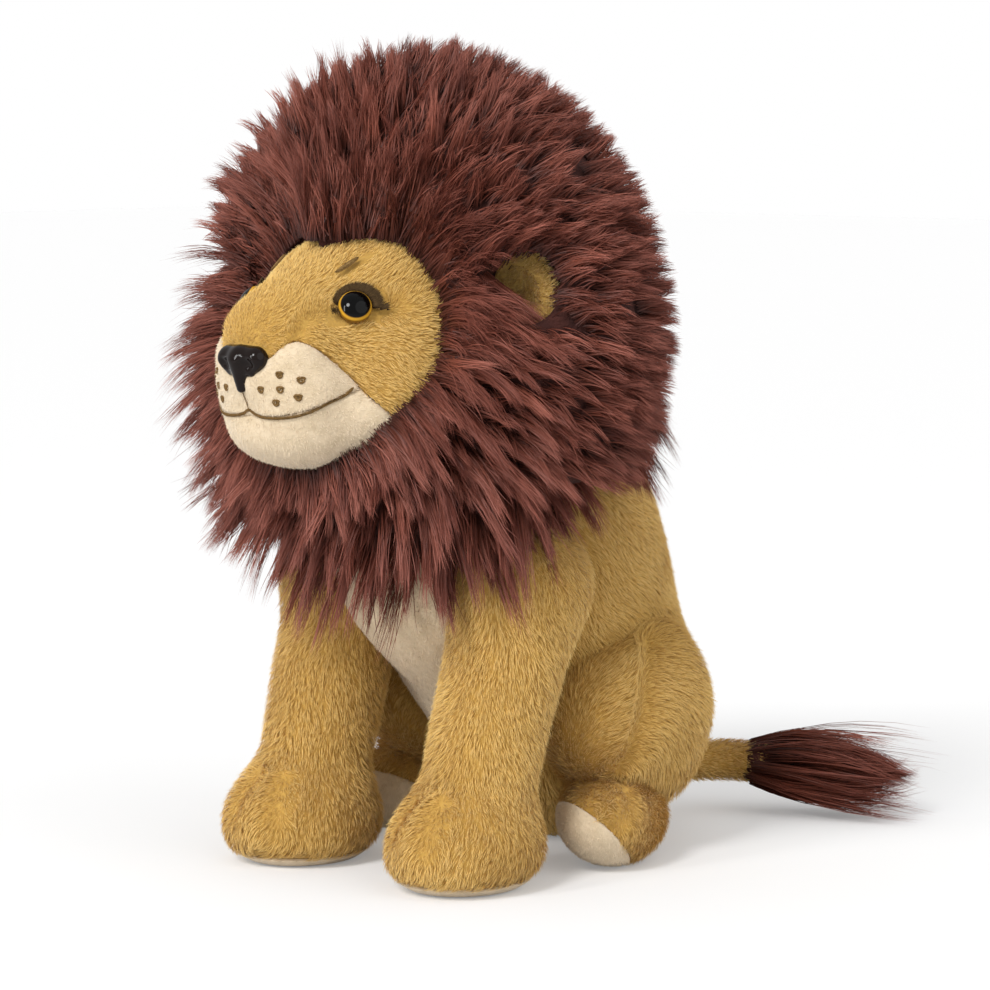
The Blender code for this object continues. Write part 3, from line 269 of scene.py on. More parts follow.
def lattice(cells, seed):
    """A fixed number from 0 to 1 for each whole-numbered cell."""
    mixed = cells[..., 0] * 73856093 ^ cells[..., 1] * 19349663 ^ cells[..., 2] * 83492791
    mixed = (mixed + seed * 7919) * 2654435761 & 0xFFFFFFFF
    for shift, factor in ((15, 2246822519), (13, 3266489917)):
        mixed = (mixed ^ (mixed >> shift)) * factor & 0xFFFFFFFF
    return ((mixed ^ (mixed >> 16)) & 0xFFFFFF) / 0xFFFFFF


def noise(points, size, seed):
    """Smooth noise from -1 to 1 with features about as large as size."""
    scaled = points / size
    cells = np.floor(scaled).astype(np.int64)
    share = scaled - cells
    share = share * share * (3.0 - 2.0 * share)
    total = np.zeros(len(points))
    for corner in np.ndindex(2, 2, 2):
        weight = np.prod(np.where(np.array(corner) == 1, share, 1.0 - share), axis=-1)
        total += weight * lattice(cells + np.array(corner), seed)
    return 2.0 * total - 1.0


def lumps(points, height, size, seed):
    """Small rises and dips, as stuffing leaves under cloth."""
    return height * noise(points, size, seed)


def noise_vectors(points, size, seed):
    return np.stack([noise(points, size, seed + axis) for axis in range(3)], axis=1)


def nearest_tuft(points, size, seed):
    """The centre of the tuft that each point belongs to, and the tuft's own number from 0 to 1."""
    cells = np.floor(points / size).astype(np.int64)
    best = np.full(len(points), np.inf)
    centre = np.zeros_like(points)
    number = np.zeros(len(points))
    for offset in np.ndindex(3, 3, 3):
        cell = cells + np.array(offset) - 1
        jitter = np.stack([lattice(cell, seed + axis) for axis in range(3)], axis=1)
        place = (cell + jitter) * size
        distance = np.linalg.norm(points - place, axis=1)
        closer = distance < best
        best[closer] = distance[closer]
        centre[closer] = place[closer]
        number[closer] = lattice(cell[closer], seed + 3)
    return centre, number


def gradient(field, points, step=0.0004):
    """The unit direction in which a field grows fastest at each point."""
    slope = np.zeros_like(points)
    for axis, shift in enumerate(np.eye(3) * step):
        slope[:, axis] = field(points + shift) - field(points - shift)
    return unit(slope)


def unit(vectors):
    return vectors / np.maximum(np.linalg.norm(vectors, axis=-1), TINY)[..., None]


def along_surface(vectors, normals):
    """What is left of vectors without their share along the normals."""
    return vectors - normals * np.sum(vectors * normals, axis=1)[:, None]


def settle(field, points, reach):
    """Moves points onto a field's surface, none of them further than reach at a time."""
    moved = np.array(points)
    for _ in range(3):
        push = np.clip(field(moved), -reach, reach)
        moved = moved - gradient(field, moved) * push[:, None]
    return moved


def ray_length(field, starts, ways, level, reach=0.16, rounds=30):
    """How far along each way a field reaches a level."""
    near, far = np.zeros(len(starts)), np.full(len(starts), reach)
    for _ in range(rounds):
        middle = 0.5 * (near + far)
        inside = field(starts + ways * middle[:, None]) < level
        near, far = np.where(inside, middle, near), np.where(inside, far, middle)
    return near


def skin(field, low, high, step):
    """The closed surface of a field as points and faces, from a grid of cubes."""
    low, high = np.array(low), np.array(high)
    counts = np.ceil((high - low) / step).astype(int) + 1
    axes = [low[k] + step * np.arange(counts[k]) for k in range(3)]
    grid = np.stack(np.meshgrid(*axes, indexing="ij"), axis=-1)
    values = field(grid.reshape(-1, 3)).reshape(counts)
    inside = values < 0.0
    corners = np.zeros(counts - 1, int)
    for i, j, k in np.ndindex(2, 2, 2):
        corners += inside[i : counts[0] - 1 + i, j : counts[1] - 1 + j, k : counts[2] - 1 + k]
    crossed = (corners > 0) & (corners < 8)
    number = np.full(counts - 1, -1)
    number[crossed] = np.arange(np.count_nonzero(crossed))
    cells = np.argwhere(crossed)
    total = np.zeros((len(cells), 3))
    hits = np.zeros(len(cells))
    units = np.eye(3, dtype=int)
    for axis in range(3):
        for first, second in np.ndindex(2, 2):
            start = cells + units[(axis + 1) % 3] * first + units[(axis + 2) % 3] * second
            end = start + units[axis]
            near, far = values[tuple(start.T)], values[tuple(end.T)]
            cut = (near < 0.0) != (far < 0.0)
            share = near[cut] / (near[cut] - far[cut])
            total[cut] += start[cut] + share[:, None] * units[axis]
            hits[cut] += 1.0
    points = low + step * total / hits[:, None]
    faces = []
    for axis in range(3):
        one, two = units[(axis + 1) % 3], units[(axis + 2) % 3]
        edges = np.argwhere(inside != np.roll(inside, -1, axis))
        keep = (edges[:, axis] < counts[axis] - 1) & (edges @ one > 0) & (edges @ two > 0)
        keep &= (edges @ one < counts[(axis + 1) % 3] - 1) & (edges @ two < counts[(axis + 2) % 3] - 1)
        edges = edges[keep]
        around = [edges - one - two, edges - two, edges, edges - one]
        quads = np.stack([number[tuple(cell.T)] for cell in around], axis=1)
        outward = inside[tuple(edges.T)]
        quads[~outward] = quads[~outward][:, ::-1]
        faces.append(quads)
    return settle(field, points, step / 2.0), np.concatenate(faces)


# Materials


def feed(tree, node, inputs):
    """Sets a node's inputs to values, or links them where the value is another node's output."""
    for name, value in inputs.items():
        if isinstance(value, bpy.types.NodeSocket):
            tree.links.new(value, node.inputs[name])
        else:
            node.inputs[name].default_value = value


def add_node(tree, kind, inputs=None, **settings):
    node = tree.nodes.new(f"ShaderNode{kind}")
    for name, value in settings.items():
        setattr(node, name, value)
    feed(tree, node, inputs or {})
    return node.outputs


def ramp(tree, source, stops):
    node = tree.nodes.new("ShaderNodeValToRGB")
    elements = node.color_ramp.elements
    for element, (place, colour) in zip(elements, (stops[0], stops[-1])):
        element.position, element.color = place, (*colour, 1.0)
    for place, colour in stops[1:-1]:
        elements.new(place).color = (*colour, 1.0)
    feed(tree, node, {"Fac": source})
    return node.outputs["Color"]


def start_material(name, roughness, sheen, specular):
    finish = bpy.data.materials.new(name)
    finish.use_nodes = True
    tree = finish.node_tree
    shader = tree.nodes["Principled BSDF"]
    feed(tree, shader, {"Roughness": roughness, "Sheen Weight": sheen, "Specular IOR Level": specular})
    return finish, tree, shader


def mark_parts(tree):
    """The two numbers that a mesh carries in its OFBake map, as X and Y."""
    place = add_node(tree, "UVMap", uv_map="OFBake")["UV"]
    return add_node(tree, "SeparateXYZ", {"Vector": place})


def speckle(tree, scale, detail):
    place = add_node(tree, "TexCoord")["Object"]
    return add_node(tree, "TexNoise", {"Vector": place, "Scale": scale, "Detail": detail})["Fac"]


def mottled(tree, shader, dark, light, scale, detail):
    feed(tree, shader, {"Base Color": ramp(tree, speckle(tree, scale, detail), ((0.3, dark), (0.7, light)))})


def bumped(tree, shader, height, distance, strength=1.0):
    bump = add_node(tree, "Bump", {"Distance": distance, "Strength": strength, "Height": height})
    feed(tree, shader, {"Normal": bump["Normal"]})


def strand_finish(name, dark, light, roughness, sheen, specular):
    """Fur whose colour runs from root to tip, between a dark and a light set of colours."""
    finish, tree, shader = start_material(name, roughness, sheen, specular)
    parts = mark_parts(tree)
    low, high = ramp(tree, parts["Y"], dark), ramp(tree, parts["Y"], light)
    colour = add_node(tree, "Mix", {"Factor": parts["X"], "A": low, "B": high}, data_type="RGBA")["Result"]
    feed(tree, shader, {"Base Color": colour})
    return finish


def cloth_finish(name, dark, light, sheen, scale, bump):
    """A fabric ground: fine mottling and a nap that shows as bump."""
    finish, tree, shader = start_material(name, 0.9, sheen, 0.3)
    mottled(tree, shader, dark, light, scale, 4.0)
    bumped(tree, shader, speckle(tree, scale * 3.0, 2.0), bump)
    return finish


def thread_finish(name, dark, light):
    """Twisted brown thread: fine mottling whose dark parts are painted shade of the grooves between lighter turns."""
    finish, tree, shader = start_material(name, 0.65, 0.0, 0.15)
    mottled(tree, shader, dark, light, 1400.0, 2.0)
    return finish


def plastic_finish(name, colour, roughness):
    """Moulded plastic with a trace of waviness and dust-fine grain."""
    finish, tree, shader = start_material(name, roughness, 0.0, 0.22)
    tint = [(place, tuple(c * share for c in colour)) for place, share in ((0.0, 0.85), (1.0, 1.15))]
    feed(tree, shader, {"Base Color": ramp(tree, speckle(tree, 90.0, 3.0), tint)})
    bumped(tree, shader, speckle(tree, 500.0, 1.0), 0.00002, 0.5)
    return finish


def eye_finish():
    """Black pupil, amber ring and dark rim under a clear glossy dome, by the distance from the eye's axis."""
    finish, tree, shader = start_material("eye_plastic", 0.04, 0.0, 0.17)
    black, amber, dark_amber = (0.001, 0.001, 0.001), (0.60, 0.32, 0.025), (0.22, 0.10, 0.012)
    stops = [(0.0, black), (0.835, black), (0.855, dark_amber), (0.89, amber), (0.945, amber), (0.975, dark_amber),
             (1.0, (0.10, 0.05, 0.01))]
    feed(tree, shader, {"Base Color": ramp(tree, mark_parts(tree)["Y"], stops)})
    return finish


GOLD_DARK = ((0.0, (0.30, 0.155, 0.026)), (0.45, (0.60, 0.355, 0.080)), (1.0, (0.76, 0.50, 0.155)))
GOLD_LIGHT = ((0.0, (0.38, 0.20, 0.036)), (0.45, (0.78, 0.50, 0.140)), (1.0, (0.94, 0.72, 0.32)))
MANE_DARK = ((0.0, (0.022, 0.0060, 0.004)), (0.4, (0.088, 0.021, 0.013)), (1.0, (0.17, 0.045, 0.030)))
MANE_LIGHT = ((0.0, (0.065, 0.017, 0.011)), (0.4, (0.26, 0.072, 0.044)), (1.0, (0.45, 0.160, 0.115)))
CREAM_DARK = ((0.0, (0.62, 0.48, 0.32)), (1.0, (0.78, 0.64, 0.46)))
CREAM_LIGHT = ((0.0, (0.70, 0.56, 0.39)), (1.0, (0.88, 0.76, 0.58)))
BROWN_DARK = ((0.0, (0.022, 0.012, 0.005)), (1.0, (0.050, 0.028, 0.010)))
BROWN_LIGHT = ((0.0, (0.045, 0.026, 0.010)), (1.0, (0.14, 0.084, 0.034)))

gold_strands = strand_finish("gold_strands", GOLD_DARK, GOLD_LIGHT, 0.7, 0.15, 0.25)
mane_strands = strand_finish("mane_strands", MANE_DARK, MANE_LIGHT, 0.48, 0.0, 0.25)
cream_strands = strand_finish("cream_strands", CREAM_DARK, CREAM_LIGHT, 0.85, 0.3, 0.2)
brown_strands = strand_finish("brown_strands", BROWN_DARK, BROWN_LIGHT, 0.75, 0.0, 0.15)
gold_ground = cloth_finish("gold_ground", (0.42, 0.235, 0.045), (0.56, 0.335, 0.075), 0.2, 220.0, 0.0006)
# The ears' ground is a lighter copy of gold_ground: painted light against the shade in the ear's pocket of mane.
ear_painted_light_ground = cloth_finish("ear_painted_light_ground", (0.60, 0.37, 0.09), (0.74, 0.50, 0.15), 0.2, 220.0, 0.0006)
cream_ground = cloth_finish("cream_ground", (0.62, 0.49, 0.32), (0.74, 0.60, 0.42), 0.35, 260.0, 0.0004)
mane_ground = cloth_finish("mane_ground", (0.030, 0.008, 0.006), (0.060, 0.016, 0.011), 0.0, 200.0, 0.001)
nose_plastic = plastic_finish("nose_plastic", (0.0075, 0.0036, 0.0026), 0.09)
washer_plastic = plastic_finish("washer_plastic", (0.75, 0.75, 0.72), 0.5)
eye_plastic = eye_finish()
thread = thread_finish("thread", (0.10, 0.052, 0.014), (0.24, 0.140, 0.048))
seam_thread = thread_finish("seam_thread", (0.10, 0.045, 0.010), (0.17, 0.085, 0.022))
middle_thread = thread_finish("middle_thread", (0.15, 0.083, 0.024), (0.32, 0.20, 0.075))

GOLD = (gold_ground, gold_strands)
CREAM = (cream_ground, cream_strands)
EAR_PAINTED_LIGHT = (ear_painted_light_ground, gold_strands)


# Objects. A surface is points, faces (one array of equal rows, or a list of such arrays) and, for fur, marks.


def make_piece(name, surface, finish, body, nodes=()):
    """A mesh object that rides on a body and may stand for CAD nodes."""
    points, faces, *marks = surface
    groups = faces if isinstance(faces, list) else [faces]
    mesh = bpy.data.meshes.new(name)
    loops = np.concatenate([group.ravel() for group in groups])
    sizes = np.concatenate([np.full(len(group), group.shape[1]) for group in groups])
    mesh.vertices.add(len(points))
    mesh.vertices.foreach_set("co", np.asarray(points, np.float32).ravel())
    mesh.loops.add(len(loops))
    mesh.loops.foreach_set("vertex_index", loops.astype(np.int32))
    mesh.polygons.add(len(sizes))
    starts = np.concatenate([[0], np.cumsum(sizes)[:-1]])
    mesh.polygons.foreach_set("loop_start", starts.astype(np.int32))
    mesh.polygons.foreach_set("use_smooth", np.ones(len(sizes), bool))
    mesh.update(calc_edges=True)
    mesh.validate()
    if marks:
        layer = mesh.uv_layers.new(name="OFBake")
        layer.data.foreach_set("uv", np.asarray(marks[0][loops], np.float32).ravel())
    mesh.materials.append(finish)
    piece = bpy.data.objects.new(name, mesh)
    bpy.context.scene.collection.objects.link(piece)
    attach(piece, body)
    if nodes:
        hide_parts(*nodes)
    return piece


def mirrored(surface, side):
    """A surface of the left side, on the side asked for."""
    if side == "left":
        return surface
    points, faces, *marks = surface
    turned = [group[:, ::-1] for group in faces] if isinstance(faces, list) else faces[:, ::-1]
    return points * MIRROR, turned, *marks


def box_of(*nodes, grow):
    """The box round some CAD nodes, grown all round."""
    lows, highs = zip(*[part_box(node) for node in nodes])
    return np.min(np.array(lows), axis=0) - grow, np.max(np.array(highs), axis=0) + grow


def sample(surface, density, seed):
    """Places spread evenly over a mesh of four-sided faces, about density of them per square metre."""
    points, faces = surface
    rng = np.random.default_rng(seed)
    halves = np.concatenate([faces[:, [0, 1, 2]], faces[:, [0, 2, 3]]])
    first, second, third = points[halves[:, 0]], points[halves[:, 1]], points[halves[:, 2]]
    areas = 0.5 * np.linalg.norm(np.cross(second - first, third - first), axis=1)
    count = int(areas.sum() * density)
    chosen = rng.choice(len(halves), size=count, p=areas / areas.sum())
    one, two = rng.random(count), rng.random(count)
    over = one + two > 1.0
    one[over], two[over] = 1.0 - one[over], 1.0 - two[over]
    return first[chosen] + (second - first)[chosen] * one[:, None] + (third - first)[chosen] * two[:, None]


def ribbons(paths, sides, widths, shades):
    """Narrow leaves along paths of equal length, as a surface whose marks hold shade and share of length."""
    count, steps = paths.shape[0], paths.shape[1]
    left = paths[:, :-1] - sides * widths[:, :-1, None] / 2.0
    right = paths[:, :-1] + sides * widths[:, :-1, None] / 2.0
    body = np.stack([left, right], axis=2).reshape(count, 2 * (steps - 1), 3)
    points = np.concatenate([body, paths[:, -1:]], axis=1)
    per = 2 * steps - 1
    base = np.arange(count)[:, None] * per
    quads = [base + np.array((2 * k, 2 * k + 1, 2 * k + 3, 2 * k + 2)) for k in range(steps - 2)]
    tips = base + np.array((per - 3, per - 2, per - 1))
    along = np.concatenate([np.repeat(np.linspace(0.0, 1.0, steps)[:-1], 2), [1.0]])
    marks = np.zeros((count, per, 2))
    marks[..., 0] = 0.02 + 0.96 * np.clip(shades, 0.0, 1.0)[:, None]
    marks[..., 1] = 0.02 + 0.96 * along[None, :]
    return points.reshape(-1, 3), [np.concatenate(quads), tips], marks.reshape(-1, 2)


def pile(name, body, finish, field, surface, flow, seed, density, length, lean, width=FUR_WIDTH, pull=0.27,
         keep=None, shade=None, tuft=0.0026, floor=None, parts=()):
    """Short fur on a surface: leaning strands that gather into small tufts and part along sewn lines."""
    rng = np.random.default_rng(seed)
    roots = sample(surface, density, seed)
    if keep is not None:
        roots = roots[keep(roots)]
    normals = gradient(field, roots)
    count = len(roots)
    ways = unit(flow(roots))
    for share, size, offset in ((0.42, 0.012, 1), (0.22, 0.0045, 5)):
        ways = ways + share * noise_vectors(roots, size, seed + offset)
    if len(parts):
        toward = gradient(lambda places: on_lines(places, parts, 0.02), roots)
        ways = ways - toward * 2.2 * on_lines(roots, parts, 0.0055)[:, None]
    ways = unit(along_surface(ways, normals))
    centre, number = nearest_tuft(roots, tuft, seed + 9)
    inward = along_surface(centre - roots, normals)
    local_length = length(roots) if callable(length) else np.full(count, length)
    local_length = local_length * (0.74 + 0.30 * rng.random(count) + 0.14 * (number - 0.5))
    angle = np.radians(lean + 10.0 * (number - 0.5) + rng.normal(0.0, 7.0, count))
    paths = [roots - normals * 0.0004]
    for steeper, share in ((0.7, 0.5), (1.15, 0.55)):
        rise, run = np.cos(angle * steeper)[:, None], np.sin(angle * steeper)[:, None]
        paths.append(paths[-1] + (normals * rise + ways * run) * (share * local_length)[:, None])
    start, middle, end = paths
    middle += inward * (0.35 * pull)
    end += inward * pull + rng.normal(0.0, 0.00018, (count, 3))
    paths = np.stack([start, middle, end], axis=1)
    if floor is not None:
        paths[..., 2] = np.maximum(paths[..., 2], floor)
    side = unit(np.cross(unit(end - start), normals))
    roll = rng.normal(0.0, 0.5, count)
    side = side * np.cos(roll)[:, None] + normals * np.sin(roll)[:, None]
    widths = width * (0.75 + 0.5 * rng.random(count))
    widths = np.stack([widths, widths * 0.85, widths * 0.0], axis=1)
    tone = 0.54 + 0.18 * (number - 0.5) + 0.22 * noise(roots, 0.016, seed + 20) + rng.normal(0.0, 0.10, count)
    # Callers' shade adds painted shade in creases and seam grooves, painted light on the ears, and a darker nose
    # bridge.
    if shade is not None:
        tone = tone + shade(roots)
    make_piece(name, ribbons(paths, np.repeat(side[:, None], 2, axis=1), widths, tone), finish, body)


def hair(name, body, roots, ways, lengths, seed, strands, spread, width, droop, curl=0.05, tone=None, stray=0.038):
    """Long pile: locks of strands that start side by side, bend under their weight and meet in a point."""
    steps, taper = 7, 0.12
    rng = np.random.default_rng(seed)
    locks = len(roots)
    helper = np.where(np.abs(ways[:, 2:3]) > 0.9, np.array((1.0, 0.0, 0.0)), UP)
    one = unit(np.cross(ways, helper))
    two = np.cross(ways, one)
    bend1 = rng.normal(0.0, curl, (locks, 2))
    bend2 = rng.normal(0.0, curl * 0.35, (locks, 2))
    phase = rng.random(locks) * 2.0 * math.pi
    lock_tone = rng.normal(0.0, 0.22, locks) if tone is None else tone + rng.normal(0.0, 0.20, locks)
    lock = np.repeat(np.arange(locks), strands)
    count = len(lock)
    angle = rng.random(count) * 2.0 * math.pi
    out = np.sqrt(rng.random(count))
    offsets = np.cos(angle) * out * spread, np.sin(angle) * out * spread
    reach = lengths[lock] * (0.50 + 0.50 * rng.random(count) ** 0.7)
    wild = rng.normal(0.0, stray, (count, 2)) * (1.0 + 2.2 * (rng.random((count, 1)) < 0.10))
    s = np.linspace(0.0, 1.0, steps)[None, :]
    run = s * reach[:, None]
    wave = np.sin(s * 5.0 + phase[lock][:, None])
    paths = roots[lock][:, None] + ways[lock][:, None] * run[..., None]
    for k, (off, across) in enumerate(zip(offsets, (one, two))):
        bend, wander = bend1[lock, k : k + 1] + wild[:, k : k + 1], wave * bend2[lock, k : k + 1]
        aside = off[:, None] * (taper + (1.0 - taper) * (1.0 - s) ** 1.1) + run * (s * bend + wander)
        paths = paths + across[lock][:, None] * aside[..., None]
    paths = paths + droop[lock][:, None] * (run * s)[..., None]
    tangent = unit(np.gradient(paths, axis=1))
    outward = unit(roots[lock] - MANE_PLACE + ways[lock] * 0.02)
    side = unit(np.cross(tangent, np.repeat(outward[:, None], steps, axis=1)) + 1e-6)
    up = np.cross(side, tangent)
    roll = (rng.normal(0.0, 0.5, count)[:, None] + 0.5 * s)[..., None]
    side = side * np.cos(roll) + up * np.sin(roll)
    widths = (width * (0.6 + 0.8 * rng.random(count)))[:, None] * (1.0 - 0.75 * s**2)
    shades = 0.45 + lock_tone[lock] + rng.normal(0.0, 0.13, count)
    return make_piece(name, ribbons(paths, side[:, :-1], widths, shades), mane_strands, body)


def plush(name, body, cloth, surface, field, flow, seed, density, length, lean, nodes=None, fill=0.7, **more):
    """Stuffed cloth that stands for CAD nodes, and the short fur on it."""
    ground, strands = cloth
    make_piece(f"{name}_plush", surface, ground, body, nodes or [f"{name}_skin", f"{name}_filling"])
    pile(f"{name}_pile", body, strands, field, surface, flow, seed, density, length, lean, **more)


# Which way the fur lies


def steady(out, back, up):
    """Fur that lies one way all over; out is away from the middle."""
    return lambda points: np.sign(points[:, :1]) * (out, 0.0, 0.0) + (0.0, back, up)


flow_down = steady(0.0, 0.15, -1.0)
flow_body = steady(0.0, 0.55, -1.0)
flow_foot = steady(0.4, -0.8, -0.7)


def flow_leg(points):
    """Down the leg and forward over the paw."""
    low = np.clip(1.0 - points[:, 2] / 0.045, 0.0, 1.0)
    out = (points[:, 0] - np.sign(points[:, 0]) * PAW_PLACE[0]) * 8.0 * low
    return np.stack([out, 0.1 - 1.1 * low, np.full(len(points), -1.0)], axis=1)


def flow_head(points):
    """Away from the nose: up and back over the brow, back and down over the cheeks."""
    local = points - HEAD
    way = unit(local - SNOUT_TIP)
    way[:, 2] -= 0.55 * np.clip((0.012 - local[:, 2]) / 0.02, 0.0, 1.0) * (np.abs(local[:, 0]) > 0.012)
    return way


def flow_thigh(points):
    """A whorl: back and down, turning round the middle of the thigh."""
    local = points - np.array(THIGH_PLACE) * np.array((np.sign(points[0, 0]), 1.0, 1.0))
    return np.stack([np.zeros(len(points)), 0.4 + local[:, 2] * 22.0, -0.55 - local[:, 1] * 22.0], axis=1)


# The body


def body_field(points):
    rump = ellipsoid(points, (0.0, 0.0, RUMP_RADII[2] - FLAT_DEPTH), RUMP_RADII)
    chest = ellipsoid(points, CHEST_PLACE, CHEST_RADII)
    neck = limb(points, CHEST_PLACE, NECK_PLACE, CHEST_RADII[0] * NECK_SHARE, NECK_RADIUS)
    return blended([rump, chest, neck], BODY_BLEND)


def belly_area(points):
    return ellipsoid(points, BELLY_PLACE, BELLY_RADII)


def breast(points):
    """The cream chest that swells between the tops of the front legs."""
    return blended([body_field(points), ellipsoid(points, BREAST_PLACE, BREAST_RADII)], 0.012)


def body_gold(points):
    return shared([body_field(points) + FUR_ROOM + lumps(points, 0.0008, 0.022, 11), -belly_area(points)], 0.002)


def body_cream(points):
    return shared([breast(points) - 0.0006 + lumps(points, 0.0006, 0.022, 11), belly_area(points)], 0.002)


def build_body():
    def free(points):
        covers = [field(folded(points)) for field in (front_leg_field, thigh_field, foot_field)]
        return (np.min(covers, axis=0) >= -0.001) & (points[:, 2] > 0.002)

    def keep_gold(points):
        behind_neck = ~((points[:, 2] > 0.158) & (points[:, 1] < -0.02))
        return free(points) & (belly_area(points) > -0.0005) & behind_neck & (bib_field(points) > -0.022)

    def keep_cream(points):
        at_surface = (body_cream(points) > -0.0006) & (body_field(points) > -0.0015)
        return free(points) & (belly_area(points) < 0.0) & at_surface

    # Painted shade: the body's fur is darker where the thighs and front legs meet it.
    def body_painted_crease_shade(points):
        return -np.maximum(painted_crease_shade(points, thigh_field), 0.8 * painted_crease_shade(points, front_leg_field))

    gold = skin(above_floor(body_gold), *box_of("body_skin", "belly_panel", grow=0.004), 0.0022)
    plush("body", "torso", GOLD, gold, body_gold, flow_body, 101, density=2.8e6, length=0.0045, lean=60.0,
          keep=keep_gold, shade=body_painted_crease_shade, floor=FLOOR_GAP)
    cream = skin(above_floor(body_cream), *box_of("belly_panel", grow=0.026), 0.0020)
    plush("belly", "torso", CREAM, cream, body_cream, flow_down, 102, density=1.6e6, length=0.0016, lean=55.0,
          nodes=["belly_panel"], width=0.00026, keep=keep_cream, floor=FLOOR_GAP)


# The front legs


def front_leg_field(points):
    shaft = limb(points, UPPER_LEG_PLACE, ANKLE_PLACE, UPPER_LEG_RADIUS, ANKLE_RADIUS)
    top = ellipsoid(points, SHOULDER_PLACE, SHOULDER_RADII)
    base = ellipsoid(points, PAW_BASE_PLACE, PAW_BASE_RADII)
    return blended([shaft, ellipsoid(points, PAW_PLACE, PAW_RADII), top, base], LEG_BLEND)


def toe_seams():
    """Two sewn lines on a front paw, from its top down over its front."""
    lines = []
    for swing in np.radians(TOE_SEAM_SWINGS_DEG):
        line = []
        for tilt in np.radians(TOE_SEAM_TILTS_DEG):
            ahead = math.cos(tilt)
            spoke = (ahead * math.sin(swing), -ahead * math.cos(swing), math.sin(tilt))
            line.append([place + radius * share for place, radius, share in zip(PAW_PLACE, PAW_RADII, spoke)])
        lines.append(settle(front_leg_field, np.array(line), 0.008))
    return lines


def sew(name, body, lines, field):
    """Dark thread that lies in sewn lines of a surface."""
    ropes = []
    for line in lines:
        path = settle(lambda places: field(places) - 0.0006, drawn_out(line, 28), 0.004)
        ropes.append(rope(path, 0.00042, 5))
    embroider(name, ropes, seam_thread, body=body)


def build_front_legs():
    seams = toe_seams()

    def upper(points):
        gold = front_leg_field(points) + FUR_ROOM + lumps(points, 0.0008, 0.018, 21)
        gold = gold + 0.0036 * on_lines(points, seams, 0.0026)
        return shared([gold, SOLE_THICKNESS - SOLE_LAP - points[:, 2]], 0.0012)

    def sole(points):
        form = front_leg_field(points) + 0.0002
        return shared([form, points[:, 2] - SOLE_THICKNESS - 0.0004, FLOOR_CUT - points[:, 2]], 0.0009)

    def keep(points):
        clear = on_lines(points, seams, 0.0011) < 0.5
        return (breast(folded(points)) > -0.003) & (points[:, 2] > SOLE_THICKNESS + 0.0012) & clear

    def length(points):
        return 0.0045 - 0.0030 * on_lines(points, seams, 0.0034)

    # Painted shade: the leg fur is darker in the grooves of the toe seams.
    def shade(points):
        return -0.9 * on_lines(points, seams, 0.0034)

    low, high = box_of("front_leg_left_skin", grow=0.004)
    surface = skin(upper, low, high, 0.0016)
    sole_surface = skin(sole, (low[0], low[1], -0.002), (high[0], high[1], 0.006), 0.0010)
    for index, side in enumerate(SIDES):
        body = f"front_leg_{side}"
        plush(body, body, GOLD, mirrored(surface, side), left_of(upper), flow_leg, 201 + index, density=2.2e6,
              length=length, lean=60.0, fill=0.75, keep=keep, shade=shade, floor=SOLE_THICKNESS - SOLE_LAP,
              parts=seams)
        sew(f"{body}_toe_seams", body, seams if side == "left" else [line * MIRROR for line in seams],
            left_of(upper))
        make_piece(f"front_sole_{side}_plush", mirrored(sole_surface, side), cream_ground, body,
                   [f"front_sole_{side}"])


# The hind legs


def thigh_field(points):
    thigh = ellipsoid(points, THIGH_PLACE, THIGH_RADII, turn(pitch=THIGH_PITCH_DEG))
    return blended([thigh, ellipsoid(points, KNEE_PLACE, KNEE_RADII)], KNEE_BLEND)


def foot_field(points):
    return ellipsoid(points, FOOT_PLACE, FOOT_RADII, turn(yaw=FOOT_TURN_DEG, roll=FOOT_TURN_DEG))


def foot_sole_side(points):
    """Below zero on the sole side of a hind foot's seam."""
    down = turn(pitch=FOOT_SOLE_PITCH_DEG, yaw=FOOT_SOLE_YAW_DEG) @ DOWN
    return FOOT_SOLE_DEPTH - (points - FOOT_PLACE) @ down


